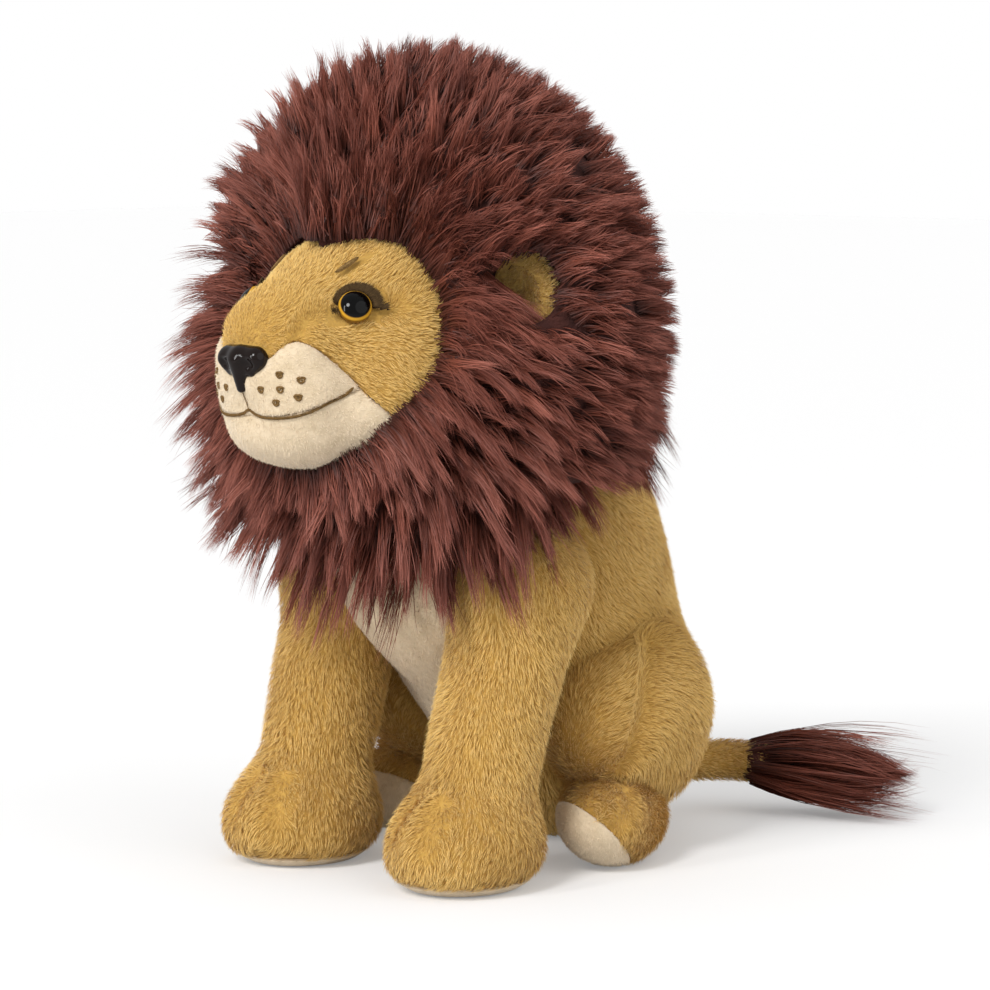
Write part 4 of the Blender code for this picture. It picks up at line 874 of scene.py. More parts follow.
def build_hind_legs():
    thigh_seams = [settle(thigh_field, np.array(THIGH_SEAM), 0.006)]
    foot_seams = [settle(foot_field, np.array(line), 0.006) for line in (TOE_SEAM, INSTEP_CREASE)]

    def thigh(points):
        seam = 0.0022 * on_lines(points, thigh_seams, 0.0022)
        return thigh_field(points) + FUR_ROOM + lumps(points, 0.0008, 0.018, 31) + seam

    def thigh_length(points):
        return 0.0048 - 0.0018 * on_lines(points, thigh_seams, 0.0030)

    # Painted shade: darker fur in the thigh seam's groove and in the crease against the body.
    def thigh_painted_shade(points):
        return -0.6 * on_lines(points, thigh_seams, 0.0024) - painted_crease_shade(points, body_field)

    def keep_thigh(points):
        return (body_field(points) > -0.003) & (foot_field(folded(points)) > -0.001)

    def foot(points):
        crease = 0.0024 * on_lines(points, foot_seams, 0.0018)
        raw = foot_field(points) + FUR_ROOM + lumps(points, 0.0006, 0.014, 32) + crease
        return shared([raw, -(foot_sole_side(points) - 0.0002)], 0.0012)

    def foot_length(points):
        return 0.0044 - 0.0022 * on_lines(points, foot_seams, 0.0030)

    # Painted shade: darker fur in the grooves of the toe seam and instep crease, and in the crease against the thigh.
    def foot_painted_shade(points):
        return -0.8 * on_lines(points, foot_seams, 0.0024) - painted_crease_shade(points, thigh_field)

    def keep_foot(points):
        free = (body_field(points) > -0.001) & (thigh_field(folded(points)) > -0.001)
        clear = on_lines(points, foot_seams, 0.0008) < 0.5
        return (foot_sole_side(folded(points)) > 0.0010) & free & clear

    def sole(points):
        raw = shared([foot_field(points) - 0.0001, foot_sole_side(points)], 0.0012)
        return np.maximum(raw, FLOOR_CUT - points[:, 2])

    def keep_sole(points):
        return (foot_sole_side(folded(points)) < 0.0) & (points[:, 2] > 0.001)

    low, high = box_of("thigh_left_skin", grow=0.004)
    thigh_surface = skin(thigh, low - (0.02, 0.0, 0.0), high, 0.0018)
    low, high = box_of("hind_foot_left_skin", "hind_sole_left", grow=0.004)
    low = (low[0] - 0.01, low[1], -0.002)
    foot_surface = skin(above_floor(foot), low, high, 0.0014)
    sole_surface = skin(sole, low, high, 0.0012)
    for index, side in enumerate(SIDES):
        plush(f"thigh_{side}", "torso", GOLD, mirrored(thigh_surface, side), left_of(thigh), flow_thigh, 301 + index,
              density=2.4e6, length=thigh_length, lean=58.0, keep=keep_thigh, shade=thigh_painted_shade, parts=thigh_seams)
        plush(f"hind_foot_{side}", "torso", GOLD, mirrored(foot_surface, side), left_of(foot), flow_foot,
              311 + index, density=2.6e6, length=foot_length, lean=56.0, fill=0.75, keep=keep_foot,
              shade=foot_painted_shade, floor=FLOOR_GAP, parts=foot_seams)
        plush(f"hind_sole_{side}", "torso", CREAM, mirrored(sole_surface, side), left_of(sole), flow_down,
              321 + index, density=1.6e6, length=0.0013, lean=50.0, nodes=[f"hind_sole_{side}"], fill=0.75,
              width=0.00026, keep=keep_sole, floor=FLOOR_GAP)


# The tail


def tail_place(distance):
    """A point of the tail's middle line, this far from its root, and the way it heads."""
    bend = math.radians(TAIL_BEND_DEG)
    angle = min(max(distance - TAIL_STRAIGHT, 0.0) / TAIL_BEND_RADIUS, bend)
    side = TAIL_BEND_RADIUS * (1.0 - math.cos(angle))
    back = min(distance, TAIL_STRAIGHT) + TAIL_BEND_RADIUS * math.sin(angle)
    heading = np.array((math.sin(angle), math.cos(angle), 0.0))
    rest = max(distance - TAIL_STRAIGHT - bend * TAIL_BEND_RADIUS, 0.0)
    return np.array(TAIL_ROOT) + np.array((side, back, 0.0)) + heading * rest, heading


TAIL_LENGTH = TAIL_STRAIGHT + math.radians(TAIL_BEND_DEG) * TAIL_BEND_RADIUS + TAIL_RUN
TAIL_LINE = np.array([tail_place(s)[0] for s in np.linspace(0.0, TAIL_LENGTH, 40)])
TAIL_END, TAIL_HEADING = tail_place(TAIL_LENGTH)
TUFT_CORE_END = TAIL_END + TAIL_HEADING * TUFT_CORE_LENGTH


def tail_field(points):
    return np.min([np.linalg.norm(points - place, axis=1) for place in TAIL_LINE], axis=0) - TAIL_RADIUS


def flow_tail(points):
    """Along the tail, from its root to its end."""
    nearest = np.argmin([np.linalg.norm(points - place, axis=1) for place in TAIL_LINE[:-1]], axis=0)
    return unit(np.diff(TAIL_LINE, axis=0))[nearest]


def tuft_core(points):
    return limb(points, TAIL_END, TUFT_CORE_END, 0.0085, 0.004)


def build_tail():
    surface = skin(tail_field, *box_of("tail_skin", grow=0.004), 0.0012)
    plush("tail", "tail", GOLD, surface, tail_field, flow_tail, 401, density=2.2e6, length=0.0038, lean=62.0,
          width=0.00030, keep=lambda points: body_field(points) > -0.002, floor=FLOOR_GAP)
    ends = TAIL_END, TUFT_CORE_END
    core = skin(tuft_core, np.min(ends, axis=0) - 0.012, np.max(ends, axis=0) + 0.012, 0.0016)
    make_piece("tuft_core", core, mane_ground, "tail", ["tail_tuft"])
    rng = np.random.default_rng(402)
    roots = sample(core, 1.1e5, 403)
    count = len(roots)
    along = np.clip((roots - TAIL_END) @ TAIL_HEADING / TUFT_CORE_LENGTH, -0.1, 1.0)
    outward = gradient(tuft_core, roots)
    ways = unit(TAIL_HEADING + outward * (0.40 - 0.24 * along)[:, None] + rng.normal(0.0, 0.045, (count, 3)))
    lengths = (TUFT_LENGTH - TUFT_CORE_LENGTH * np.clip(along, 0.0, 1.0)) * (0.72 + 0.36 * rng.random(count))
    droop = DOWN * 0.08 - outward * 0.36
    fur = hair("tuft_pile", "tail", roots, ways, lengths, 404, 20, 0.0022, 0.00034, droop, curl=0.04, stray=0.016)
    lift_hair(fur, 0.0012)


def lift_hair(piece, height):
    """Keeps loose hair on the floor instead of in it."""
    points = np.zeros(len(piece.data.vertices) * 3, np.float32)
    piece.data.vertices.foreach_get("co", points)
    points[2::3] = np.maximum(points[2::3], height)
    piece.data.vertices.foreach_set("co", points)
    piece.data.update()


# The head


def head_field(points):
    """Skull, cheeks, nose bridge, muzzle and jaw, the same on both sides."""
    both = folded(points)
    fields = [
        ellipsoid(both, HEAD, HEAD_RADII),
        ellipsoid(both, BRIDGE_PLACE, BRIDGE_RADII, turn(pitch=BRIDGE_PITCH_DEG)),
        ellipsoid(both, MUZZLE_PLACE, MUZZLE_RADII),
        ellipsoid(both, JAW_PLACE, JAW_RADII),
        ellipsoid(both, CHEEK_PLACE, CHEEK_RADII),
    ]
    pulled = dent(both, SOCKET_PLACE, 0.0030, 0.0105) + dent(both, MOUTH_PULL_PLACE, 0.0026, 0.0075)
    return blended(fields, HEAD_BLEND) + pulled + dent(both, CORNER_PLACE, 0.0016, 0.0060)


def on_face(across, up, lift=0.0):
    """The place on the face seen from the front at across and up from the head's middle."""
    starts = HEAD + np.stack([across, np.zeros(len(across)), up], axis=1)
    return starts + FRONT * ray_length(head_field, starts, FRONT, lift, 0.12, 40)[:, None]


EYE_CREASES = [on_face(*np.array(line).T) for line in (INNER_EYE_FOLD, OUTER_EYE_FOLD)]
NOSE_SEAT = on_face(np.zeros(1), np.array([-NOSE_DROP]))[0]
EYE_SEAT = on_face(np.array([EYE_SPREAD]), np.array([EYE_RISE]))
EYE_NORMAL = gradient(head_field, EYE_SEAT)[0]
EYE_CENTRE = EYE_SEAT[0] + EYE_NORMAL * 0.0003


def lip_area(points):
    """Below zero in front of and below the seam that bounds the cream muzzle, square to the face."""
    depth = np.clip(head_field(points), -0.006, 0.006)
    local = points - gradient(head_field, points) * depth[:, None] - HEAD
    edge = (local[:, 2] - np.interp(np.abs(local[:, 0]), *zip(*LIP_EDGE))) * 0.65
    return np.maximum(edge, local[:, 1] + LIP_BACK)


def chin_area(points):
    """Below zero under a plane that crosses the face and falls backward."""
    return (points - LIP_SEAM_PLACE) @ (turn(pitch=-LIP_SEAM_PITCH_DEG) @ UP)


def head_gold(points):
    crease = 0.0016 * on_lines(points, EYE_CREASES, 0.0022)
    raw = head_field(points) + FUR_ROOM * 0.8 + lumps(points, 0.0006, 0.018, 41) + crease
    return shared([raw, -lip_area(points)], 0.0008)


def muzzle(points):
    """The cream muzzle's form, which rises inside its seam, and the seam's field."""
    edge = lip_area(points)
    return head_field(points) - MUZZLE_RISE * np.clip(-edge / 0.004, 0.0, 1.0), edge


def lips(points):
    return shared([*muzzle(points), -chin_area(points)], 0.0010)


def chin(points):
    raw, edge = muzzle(points)
    return shared([raw + lumps(points, 0.0004, 0.012, 42), edge, chin_area(points)], 0.0012)


def from_brow(points):
    """How far points lie from the line of a brow mark, seen from the front."""
    local = folded(points) - HEAD
    local[:, 1] = 0.0
    start, end = (np.array((across, 0.0, up)) for across, up in (BROW_LINE[0], BROW_LINE[-1]))
    return limb(local, start, end) + 0.05 * (points[:, 1] > HEAD[1])


def build_head():
    def keep(points):
        local = points - HEAD
        eye = np.hypot(np.abs(local[:, 0]) - EYE_SPREAD, local[:, 2] - EYE_RISE) > EYE_RADIUS + 0.0002
        front = (points[:, 1] < -0.100) & (hairline(points) < 0.004)
        clear = (nose_field(points) > 0.0002) & (from_brow(points) > 0.0015)
        return front & (lip_area(points) > -0.0002) & (eye | (points[:, 1] > HEAD[1])) & clear

    def length(points):
        local = points - HEAD
        middle = np.exp(-((np.hypot(local[:, 0], (local[:, 1] - SNOUT_TIP[1])) / 0.020) ** 2))
        brow = np.exp(-((from_brow(points) / 0.0035) ** 2))
        return 0.0032 - 0.0011 * middle - 0.0018 * brow - 0.0010 * on_lines(points, EYE_CREASES, 0.0025)

    # Darker fur round the nose bridge, and painted shade in the eye creases.
    def shade(points):
        local = points - HEAD
        near_nose = np.exp(-((np.hypot(local[:, 0], local[:, 2] - 0.006) / 0.013) ** 2)) * (local[:, 1] < -0.05)
        return -0.75 * near_nose - 0.7 * on_lines(points, EYE_CREASES, 0.0026)

    def keep_cream(points):
        return (lip_area(points) < 0.0) & (head_field(points) > -0.001) & (nose_field(points) > 0.0)

    whole = skin(head_gold, *box_of("head_skin", "upper_lip_panel", "chin_panel", grow=0.004), 0.0016)
    plush("head", "head", GOLD, whole, head_gold, flow_head, 501, density=3.6e6, length=length, lean=62.0, fill=0.8,
          width=0.00022, pull=0.26, keep=keep, shade=shade, tuft=0.0022, parts=EYE_CREASES)
    box = box_of("upper_lip_panel", "chin_panel", grow=0.004)
    for name, node, field, seed in (("lips", "upper_lip_panel", lips, 502), ("chin", "chin_panel", chin, 503)):
        plush(name, "head", CREAM, skin(field, *box, 0.0012), field, flow_head, seed, density=2.2e6, length=0.0013,
              lean=50.0, nodes=[node], fill=0.85, width=0.00024, keep=keep_cream)


def nose_bar(points, start, end, start_radius, end_radius):
    """A limb given in shares of the nose's half size."""
    return limb(points, NOSE_SEAT + NOSE_HALF * start, NOSE_SEAT + NOSE_HALF * end, NOSE_HALF[2] * start_radius,
                NOSE_HALF[2] * end_radius)


def nose_field(points):
    """A wide rounded bar over a tapering column, with a rimmed recess for each nostril."""
    both = folded(points)
    bar = nose_bar(both, (0.0, 0.06, 0.44), (0.58, 0.20, 0.40), 0.50, 0.48)
    wing = nose_bar(both, (0.60, 0.10, 0.30), (0.44, 0.06, -0.12), 0.40, 0.24)
    column = nose_bar(both, (0.0, -0.16, 0.26), (0.0, 0.02, -0.82), 0.42, 0.20)
    nostril = ellipsoid(both, NOSE_SEAT + NOSE_HALF * (0.52, -0.78, 0.08), NOSE_HALF * (0.30, 0.60, 0.40),
                        turn(roll=24.0, yaw=-14.0))
    slot = nose_bar(both, (0.50, -0.66, -0.02), (0.98, -0.40, 0.02), 0.10, 0.13)
    return shared([blended([bar, wing, column], 0.0026), -blended([nostril, slot], 0.0010)], 0.0010)


def build_nose():
    surface = skin(nose_field, NOSE_SEAT - NOSE_HALF * 1.3, NOSE_SEAT + NOSE_HALF * 1.3, 0.0004)
    make_piece("nose_button", surface, nose_plastic, "head", ["nose"])


def build_eyes():
    """A glossy dome over each eye's seat, closed at its back."""
    rotation = np.array(Vector(EYE_NORMAL).to_track_quat("Z", "Y").to_matrix())
    segments, rings = 64, 20
    angles = [math.radians(90.0 * ring / rings) for ring in range(1, rings + 1)]
    profile = [(0.0, EYE_DOME)] + [(EYE_RADIUS * math.sin(angle), EYE_DOME * math.cos(angle)) for angle in angles]
    profile += [(EYE_RADIUS, -EYE_DEPTH), (0.0, -EYE_DEPTH)]
    points, marks = [], []
    for radius, height in profile:
        for step in range(segments if radius else 1):
            angle = 2.0 * math.pi * step / segments
            points.append((radius * math.cos(angle), radius * math.sin(angle), height + 0.0009))
            marks.append((step / segments, 0.02 + 0.96 * radius / EYE_RADIUS))
    rim = 1 + (len(profile) - 3) * segments
    quads, caps = [], []
    for step in range(segments):
        after = (step + 1) % segments
        caps += [(0, 1 + step, 1 + after), (len(points) - 1, rim + after, rim + step)]
        for near in range(1, rim, segments):
            far = near + segments
            quads.append((near + step, far + step, far + after, near + after))
    surface = np.array(points) @ rotation.T + EYE_CENTRE, [np.array(quads), np.array(caps)], np.array(marks)
    for side in SIDES:
        make_piece(f"eye_dome_{side}", mirrored(surface, side), eye_plastic, "head", [f"eye_{side}"])


def build_lids():
    """Short brown fur round each eye, widest above its outer corner."""
    across = unit(np.cross(UP, EYE_NORMAL))
    upward = np.cross(EYE_NORMAL, across)
    rng = np.random.default_rng(601)
    count = 3600
    angle = 4.0 + 168.0 * rng.random(count)
    width = np.interp(angle, (0.0, 25.0, 60.0, 90.0, 130.0, 172.0), (0.0026, 0.0034, 0.0030, 0.0024, 0.0015, 0.0007))
    out = EYE_RADIUS + 0.0001 + width * rng.random(count) ** 1.3
    tail = rng.random(count)
    outer, inner = tail < 0.06, tail > 0.975
    angle = np.where(outer, rng.normal(2.0, 3.0, count), np.where(inner, rng.normal(196.0, 4.0, count), angle))
    out = np.where(outer, EYE_RADIUS + 0.0052 * rng.random(count), out)
    out = np.where(inner, EYE_RADIUS + 0.0030 * rng.random(count), out)
    angle = np.radians(angle)
    spokes = across * np.cos(angle)[:, None] + upward * np.sin(angle)[:, None]
    roots = settle(head_field, EYE_CENTRE + spokes * out[:, None], 0.004)
    normals = gradient(head_field, roots)
    ways = unit(spokes * 0.8 + across * 0.5 + 0.3 * rng.normal(0.0, 1.0, (count, 3)))
    ways = unit(along_surface(ways, normals))
    half = ((0.0020 + 0.0010 * rng.random(count)) * 0.5)[:, None]
    start = roots + normals * 0.0004
    middle = start + (normals * 0.75 + ways * 0.45) * half
    end = middle + (normals * 0.35 + ways * 0.8) * half
    side = unit(np.cross(end - start, normals))
    widths = np.tile((0.00028, 0.00024, 0.0), (count, 1))
    paths = np.stack([start, middle, end], axis=1)
    surface = ribbons(paths, np.repeat(side[:, None], 2, axis=1), widths, rng.random(count))
    for name in SIDES:
        make_piece(f"eyelid_{name}_pile", mirrored(surface, name), brown_strands, "head", [f"eyelid_{name}"])


# Embroidery


def rope(path, radius, sides=6):
    """A closed thin tube through points, narrower at its ends: points and groups of faces."""
    path = np.asarray(path, float)
    tangent = unit(np.gradient(path, axis=0))
    across = unit(np.cross(tangent, UP + 1e-4))
    other = np.cross(tangent, across)
    size = np.full(len(path), radius)
    size[0] = size[-1] = radius * 0.3
    angles = [2.0 * math.pi * step / sides for step in range(sides)]
    rings = [path + (across * math.cos(angle) + other * math.sin(angle)) * size[:, None] for angle in angles]
    points = np.concatenate([np.stack(rings, axis=1).reshape(-1, 3), path[:1], path[-1:]])
    first, last = len(points) - 2, len(points) - 1
    top = first - sides
    pairs = [(step, (step + 1) % sides) for step in range(sides)]
    quads = [(near + step, near + after, near + sides + after, near + sides + step)
             for near in range(0, top, sides) for step, after in pairs]
    caps = [face for step, after in pairs for face in ((first, after, step), (last, top + step, top + after))]
    return points, [np.array(quads), np.array(caps)]


def embroider(name, ropes, finish, nodes=(), body="head"):
    """One piece from many threads."""
    points = [rows for rows, _ in ropes]
    starts = np.cumsum([0] + [len(rows) for rows in points])
    groups = [np.concatenate([faces[kind] + start for (_, faces), start in zip(ropes, starts)]) for kind in (0, 1)]
    make_piece(name, (np.concatenate(points), groups), finish, body, nodes)


def drawn_out(line, count):
    """A line through given places as count points, as many between each two."""
    knots = np.linspace(0.0, len(line) - 1.0, count)
    return np.stack([np.interp(knots, np.arange(len(line)), column) for column in np.transpose(line)], axis=1)


def satin(line, width, lift, radius, gap, seed, spindle=0.0):
    """A band of short parallel stitches across a line on the face, given as (across, up) places."""
    rng = np.random.default_rng(seed)
    dense = on_face(*drawn_out(np.asarray(line, float), 240).T, lift)
    steps = np.linalg.norm(np.diff(dense, axis=0), axis=1)
    total = np.concatenate([[0.0], np.cumsum(steps)])
    count = max(3, int(total[-1] / gap))
    where = np.linspace(0.0, total[-1], count)
    middle = np.stack([np.interp(where, total, dense[:, k]) for k in range(3)], axis=1)
    heading = unit(np.gradient(middle, axis=0))
    slant = unit(np.cross(gradient(head_field, middle), heading) + 0.35 * heading)
    ends = np.minimum(1.0, np.minimum(np.arange(count), np.arange(count)[::-1]) / 3.0 + 0.45)
    ends = ends * (1.0 - spindle * (2.0 * where / total[-1] - 1.0) ** 2) * (1.0 + rng.normal(0.0, 0.06, count))
    half = slant * (0.5 * width * ends)[:, None]
    spread = np.array((-1.0, -0.6, 0.0, 0.6, 1.0))
    paths = (middle[:, None] + half[:, None] * spread[:, None]).reshape(-1, 3)
    paths = settle(lambda places: head_field(places) - lift, paths, 0.003)
    rise = np.tile(np.array((-0.0002, 0.5, 1.0, 0.5, -0.0002)) * radius * 0.9, count)
    paths = (paths + gradient(head_field, paths) * rise[:, None]).reshape(count, 5, 3)
    return [rope(path, radius, 5) for path in paths]


def dot(across, up, radius):
    """A ring of stitches on the face round a place."""
    angles = np.linspace(0.0, 2.0 * math.pi, 19)
    reach = radius * (1.0 + 0.14 * np.cos(3.0 * angles - 1.5))
    return rope(on_face(across + reach * np.cos(angles), up + reach * np.sin(angles), 0.0014), 0.00050)


def build_stitches():
    across = np.linspace(-MOUTH_LINE[-1][0], MOUTH_LINE[-1][0], 160)
    line = np.stack([across, -np.interp(np.abs(across), *zip(*MOUTH_LINE))], axis=1)
    ropes = satin(line, 0.0012, 0.0015, 0.00024, 0.00036, 701)
    line = np.stack([np.zeros(20), -np.linspace(PHILTRUM_TOP_DROP, MOUTH_LINE[0][1], 20)], axis=1)
    ropes += satin(line, 0.0006, 0.0015, 0.00018, 0.0005, 702)
    centres = []
    for sign in (-1.0, 1.0):
        for index, (spot, rise) in enumerate(DOT_PLACES):
            ropes.append(dot(sign * spot, rise, DOT_RADIUS))
            line = [(sign * (spot - 0.0005), rise), (sign * (spot + 0.0005), rise)]
            centres += satin(line, 0.0011, 0.0013, 0.00022, 0.00030, 710 + index)
    embroider("mouth_embroidery", ropes, thread, ["mouth_stitch"])
    embroider("whisker_dot_embroidery", centres, middle_thread)
    for side, sign in zip(SIDES, (1.0, -1.0)):
        line = [(sign * across, up) for across, up in BROW_LINE]
        edge = satin(line, 0.0025, 0.0009, 0.00026, 0.00040, 730, spindle=0.45)
        embroider(f"brow_{side}_edge_embroidery", edge, thread)
        middle = satin(line, 0.0013, 0.0012, 0.00024, 0.00040, 731, spindle=0.7)
        embroider(f"brow_{side}_embroidery", middle, middle_thread, [f"brow_stitch_{side}"])


# The ears


def ear_frame():
    """The ear's axes as columns: across along its seam, back and out."""
    out_angle, back_angle = math.radians(EAR_OUT_DEG), math.radians(EAR_BACK_DEG)
    level = math.sin(out_angle)
    out = np.array((level * math.cos(back_angle), level * math.sin(back_angle), math.cos(out_angle)))
    splay = math.radians(EAR_SPLAY_DEG)
    back = np.array((-math.sin(splay), math.cos(splay), 0.0))
    back = unit(back - out * (back @ out))
    return np.stack([np.cross(back, out), back, out], axis=1)


EAR_OUT = ear_frame()[:, 2]
EAR_MIDDLE = EAR_PLACE + EAR_OUT * EAR_TALL / 2.0
EAR_ROOM_START = EAR_MIDDLE + (0.002, 0.003, -0.002)
EAR_ROOM_END = EAR_ROOM_START + (0.026, -0.042, 0.004)
EAR_ROOM_RADIUS = 0.0125
EAR_SHOWN = EAR_MIDDLE + (-0.0026, -0.0023, -0.0095)
EAR_SHOWN_RADIUS = 0.0175


def ear_field(points):
    """A dished round flap with a round edge along its seam."""
    local = (points - EAR_PLACE) @ ear_frame()
    half, half_tall = EAR_THICKNESS / 2.0, EAR_TALL / 2.0
    reach = EAR_HALF_WIDTH - half
    seam = limb(local, (-reach, 0.0, 0.0), (reach, 0.0, 0.0), half, half)
    flap = ellipsoid(local, (EAR_DROP, 0.0, half_tall), (EAR_HALF_WIDTH + 0.0015, half, half_tall))
    dish = ellipsoid(local, (EAR_DROP, -half - EAR_DISH / 2.0, half_tall),
                     (reach, EAR_DISH + half / 2.0, half_tall - half))
    return np.maximum(blended([seam, flap], half), -dish)


def flow_ear(points):
    return np.where(points[:, :1] < 0.0, MIRROR, 1.0) * EAR_OUT


def build_ears():
    surface = skin(ear_field, *box_of("ear_left", grow=0.008), 0.0010)
    for index, side in enumerate(SIDES):
        name = f"ear_{side}"
        # The ears' fur tone is raised by 0.7: painted light against the shade of the mane round the ear.
        plush(name, name, EAR_PAINTED_LIGHT, mirrored(surface, side), left_of(ear_field), flow_ear, 801 + index, density=2.8e6,
              length=0.0034, lean=52.0, nodes=[name], fill=0.3, width=0.00026, shade=lambda points: 0.7)


# The mane


def mane_field(points):
    return ellipsoid(points, MANE_PLACE, MANE_RADII)


def bib_field(points):
    return ellipsoid(points, BIB_PLACE, BIB_RADII)


def hairline(points):
    """How far a point lies behind the line where the mane starts on the head."""
    local = points - HEAD
    angle = np.degrees(np.arctan2(local[:, 2], np.abs(local[:, 0])))
    return local[:, 1] - np.interp(angle, *zip(*HAIRLINE))


def ear_room(points):
    """Below zero in the open space in front of either ear."""
    return limb(folded(points), EAR_ROOM_START, EAR_ROOM_END, EAR_ROOM_RADIUS, EAR_ROOM_RADIUS * 1.4)


def core_field(points):
    """The ground that the mane's hair grows from, which starts at the hairline."""
    whole = blended([ellipsoid(points, CORE_PLACE, CORE_RADII), head_field(points) - COLLAR], 0.010)
    away = np.linalg.norm(points - HEAD, axis=1) - HEAD_RADII[0]
    front = -(hairline(points) + CORE_LEAN * np.maximum(away, 0.0) - 0.002)
    return shared([whole, front * 0.8, 0.146 - points[:, 2], -ear_room(points)], 0.005)


def mane_ways(roots, rng, wild, seed):
    """Outward from the face, turning back over the crown and the nape."""
    local = roots - HEAD
    back = np.clip((local[:, 1] + 0.004) / 0.05, -0.20, 1.0)
    ways = unit(local * (1.0, 0.0, 1.0))
    ways[:, 2] += 0.26 * np.abs(ways[:, 0]) * (back < 0.3)
    ways[:, 1] = back * 1.1
    return unit(ways + 0.14 * noise_vectors(roots, 0.030, seed) + wild * rng.normal(0.0, 1.0, (len(roots), 3)))


def before_ear(roots, ways, lengths, droop):
    """The share of each lock that stays clear of the part of an ear that shows from a front quarter."""
    free = np.ones(len(roots))
    for share in np.linspace(1.0, 0.08, 16):
        run = (share * lengths)[:, None]
        places = folded(roots + ways * run + droop * run * share)
        local = places - EAR_SHOWN
        right = local @ ASIDE
        inside = np.hypot(right, local[:, 2]) < EAR_SHOWN_RADIUS
        high = 0.66 * right + 0.75 * local[:, 2] > 0.004
        free[inside & high & ((places - EAR_MIDDLE) @ TOWARD > -0.004)] = share
    return free


def build_mane():
    surface = skin(core_field, (-0.096, -0.165, 0.136), (0.096, -0.014, 0.298), 0.0030)
    make_piece("mane_ground_cloth", surface, mane_ground, "head",
               ["mane_crown", "mane_left", "mane_right", "mane_nape"])
    edge_surface = skin(lambda places: head_field(places) - 0.0012, HEAD - 0.08, HEAD + 0.08, 0.0030)

    def grow(name, seed, density, strands, low, high, spread, width, curl, wild, edge=False):
        """Locks whose tips lie between low and high beyond the mane's outline."""
        rng = np.random.default_rng(seed)
        roots = sample(edge_surface if edge else surface, density, seed + 1)
        behind = hairline(roots)
        if edge:
            held = (behind > -0.0004) & (behind < 0.006)
        else:
            held = (head_field(roots) > 0.0005) & (behind > -0.001)
        roots = roots[(roots[:, 2] > 0.149) & held]
        ways = mane_ways(roots, rng, wild, seed + 2)
        rest = low + (high - low) * rng.random(len(roots)) ** 0.8
        rest = rest - 0.008 * np.clip((roots[:, 1] - HEAD[1] + 0.010) / 0.03, 0.0, 1.0)
        lengths = np.clip(ray_length(mane_field, roots, ways, rest), 0.016, 0.090)
        front = roots[:, 1] < HEAD[1] + 0.012
        sag = 0.05 + np.where(front, 0.40, 0.20) * np.abs(ways[:, 0])
        droop = np.outer(sag, (0.0, 0.06, -1.0))
        share = before_ear(roots, ways, lengths, droop)
        lengths = lengths * np.where(rng.random(len(roots)) < 0.02, 1.0, share)
        clear = lengths > 0.007
        hair(name, "head", roots[clear], ways[clear], lengths[clear], seed + 3, strands, spread, width, droop[clear],
             curl=curl)

    grow("mane_pile_long", 901, 1.8e4, 66, -0.005, 0.018, 0.0042, 0.00030, curl=0.07, wild=0.045)
    grow("mane_pile_short", 921, 2.8e4, 28, -0.020, 0.002, 0.0055, 0.00034, curl=0.10, wild=0.07)
    grow("mane_pile_edge", 941, 1.7e5, 48, -0.016, 0.012, 0.0032, 0.00030, curl=0.09, wild=0.05, edge=True)


def build_nape_locks():
    """Locks that fall from the nape over the top of the back."""
    rng = np.random.default_rng(971)
    count = 280
    turned = np.radians(rng.uniform(-85.0, 85.0, count))
    rise = rng.random(count)
    out, back = np.sin(turned), np.cos(turned)
    height = 0.158 + 0.018 * np.maximum(back, 0.0) + 0.030 * rise
    roots = np.stack([0.058 * out, -0.062 + 0.036 * back, height], axis=1)
    roots = settle(core_field, roots, 0.030) - gradient(core_field, roots) * 0.002
    ways = np.stack([0.55 * out, 0.72 * back + 0.14, -0.90 + 0.20 * rise], axis=1)
    ways = unit(ways + 0.10 * rng.normal(0.0, 1.0, (count, 3)))
    lengths = 0.021 + 0.012 * rng.random(count)
    droop = np.tile(DOWN * 0.22, (count, 1))
    ends = [roots + ways * (share * lengths)[:, None] + droop * (share * share * lengths)[:, None]
            for share in (0.5, 0.8, 1.0)]
    clear = np.min([body_field(places) for places in ends], axis=0) > 0.0025
    hair("nape_pile", "head", roots[clear], ways[clear], lengths[clear], 972, 60, 0.0044, 0.00032, droop[clear])


def build_ear_locks():
    """Locks that hang over the lower half of each ear."""
    rng = np.random.default_rng(961)
    count = 44
    down = rng.random(count)
    roots = EAR_SHOWN - ASIDE * (0.021 - 0.004 * rng.random(count))[:, None]
    roots = roots + UP * (0.0185 - 0.034 * down)[:, None]
    roots = roots + TOWARD * (0.006 + 0.004 * rng.random(count))[:, None]
    ways = ASIDE + TOWARD * (0.10 + 0.10 * rng.random(count))[:, None]
    ways = unit(ways + UP * (-0.62 + 0.10 * rng.normal(0.0, 1.0, count))[:, None])
    lengths = 0.033 + 0.014 * rng.random(count)
    droop = np.tile(DOWN * 0.12, (count, 1))
    for side, flip in zip(SIDES, (1.0, MIRROR)):
        hair(f"ear_locks_{side}", "head", roots * flip, ways * flip, lengths, 962, 56, 0.0036, 0.00030, droop)


def bib_core(points):
    whole = ellipsoid(points, (0.0, -0.090, 0.152), (0.066, 0.046, 0.036))
    return shared([whole, points[:, 2] - 0.162, -(body_field(points) - 0.0004)], 0.004)


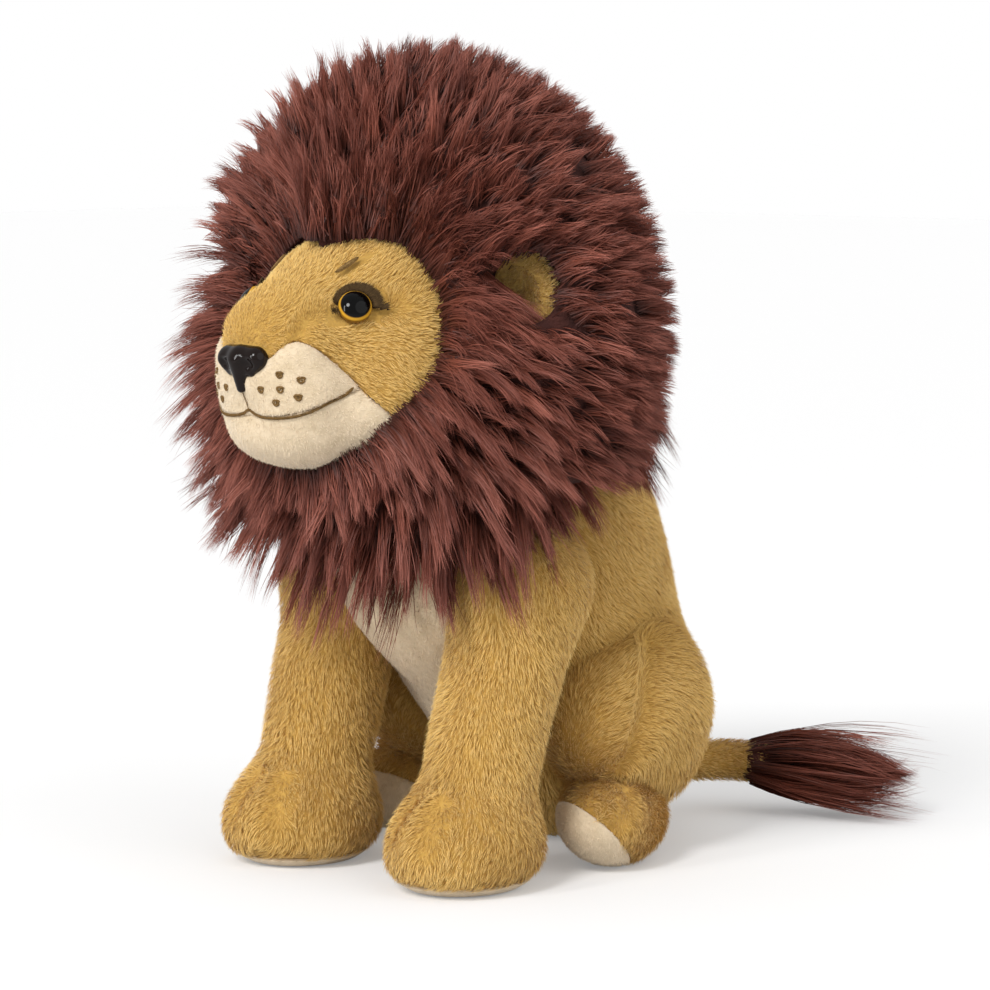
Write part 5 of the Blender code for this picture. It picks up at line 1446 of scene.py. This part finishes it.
def build_bib():
    surface = skin(bib_core, (-0.074, -0.145, 0.108), (0.074, -0.030, 0.172), 0.0030)
    make_piece("bib_ground_cloth", surface, mane_ground, "torso", ["mane_bib"])
    for name, seed, density, strands, low, high in (("bib_pile_long", 951, 2.2e4, 46, -0.016, 0.008),
                                                    ("bib_pile_short", 971, 2.0e4, 28, -0.028, -0.010)):
        rng = np.random.default_rng(seed)
        roots = sample(surface, density, seed + 1)
        roots = roots[(roots[:, 2] < 0.160) & (body_field(roots) > 0.001) & (breast(roots) > -0.001)]
        ways = unit(roots - BIB_MIDDLE) + 0.16 * noise_vectors(roots, 0.030, seed + 2)
        ways = unit(ways + 0.10 * rng.normal(0.0, 1.0, (len(roots), 3)) + (0.0, 0.0, -0.25))
        rest = low + (high - low) * rng.random(len(roots)) ** 0.8
        lengths = np.clip(ray_length(bib_field, roots, ways, rest), 0.012, 0.070)
        droop = np.tile(DOWN * 0.24, (len(roots), 1))
        ends = roots + ways * lengths[:, None] * 0.6 + droop * lengths[:, None] * 0.36
        clear = breast(ends) > 0.003
        hair(name, "torso", roots[clear], ways[clear], lengths[clear], seed + 3, strands, 0.0040, 0.00034,
             droop[clear], curl=0.08, tone=0.04)


# What stays of the solids


def finish_inner():
    for name in ("nose_washer", "eye_washer_left", "eye_washer_right"):
        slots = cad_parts[name].data.materials
        slots.clear()
        slots.append(washer_plastic)


# Studio


def stand(name, data, place=None, target=None):
    """An object of the studio, at a place and looking at a target."""
    holder = bpy.data.objects.new(name, data)
    bpy.context.scene.collection.objects.link(holder)
    if place is not None:
        holder.location = place
        holder.rotation_mode = "QUATERNION"
        holder.rotation_quaternion = (target - place).to_track_quat("-Z", "Y")
    return holder


def camera():
    data = bpy.data.cameras.new("camera")
    data.lens, data.sensor_width = 139.86, 36.0
    data.clip_start, data.clip_end = 0.05, 30.0
    place, target = Vector((0.96203, -1.11036, 0.28561)), Vector((0.03038, -0.07566, 0.13927))
    bpy.context.scene.camera = stand("camera", data, place, target)


def studio():
    scene = bpy.context.scene
    scene.view_settings.view_transform = "Standard"
    scene.world = bpy.data.worlds.new("studio")
    scene.world.use_nodes = True
    white = (1.0, 1.0, 1.0, 1.0)
    tree = scene.world.node_tree
    seen = add_node(tree, "LightPath")["Is Camera Ray"]
    level = add_node(tree, "Mix", {"A": 0.62, "B": 1.0, "Factor": seen}, data_type="FLOAT")["Result"]
    feed(tree, tree.nodes["Background"], {"Color": white, "Strength": level})
    for name, strength, angle, pitch, yaw in (("key", 1.55, 16.0, 48.0, 12.0), ("fill", 0.6, 60.0, 62.0, 88.0)):
        lamp = bpy.data.lights.new(name, "SUN")
        lamp.energy, lamp.angle = strength, math.radians(angle)
        stand(name, lamp).rotation_euler = (math.radians(pitch), 0.0, math.radians(yaw))
    strip = bpy.data.lights.new("strip", "AREA")
    strip.shape = "RECTANGLE"
    strip.size, strip.size_y = 0.16, 0.70
    strip.energy = 5.5
    stand("strip", strip, Vector(HEAD) + Vector((-0.16, -1.24, 0.42)), Vector(HEAD))
    reach = 6.0
    mesh = bpy.data.meshes.new("floor")
    corners = ((-reach, -reach, 0.0), (reach, -reach, 0.0), (reach, reach, 0.0), (-reach, reach, 0.0))
    mesh.from_pydata(corners, [], [(0, 1, 2, 3)])
    stand("floor", mesh)
    finish, tree, shader = start_material("floor_paper", 0.9, 0.0, 0.0)
    feed(tree, shader, {"Base Color": (0.74, 0.74, 0.74, 1.0)})
    seen = add_node(tree, "LightPath")["Is Camera Ray"]
    scale = tree.nodes.new("ShaderNodeMath")
    scale.operation = "MULTIPLY"
    scale.inputs[1].default_value = 0.22
    tree.links.new(seen, scale.inputs[0])
    glow = add_node(tree, "Emission", {"Color": white, "Strength": scale.outputs["Value"]})
    add = tree.nodes.new("ShaderNodeAddShader")
    tree.links.new(shader.outputs["BSDF"], add.inputs[0])
    tree.links.new(glow["Emission"], add.inputs[1])
    feed(tree, tree.nodes["Material Output"], {"Surface": add.outputs["Shader"]})
    mesh.materials.append(finish)


camera()
studio()
build_body()
build_front_legs()
build_hind_legs()
build_tail()
build_head()
build_nose()
build_eyes()
build_lids()
build_stitches()
build_ears()
build_mane()
build_nape_locks()
build_ear_locks()
build_bib()
finish_inner()
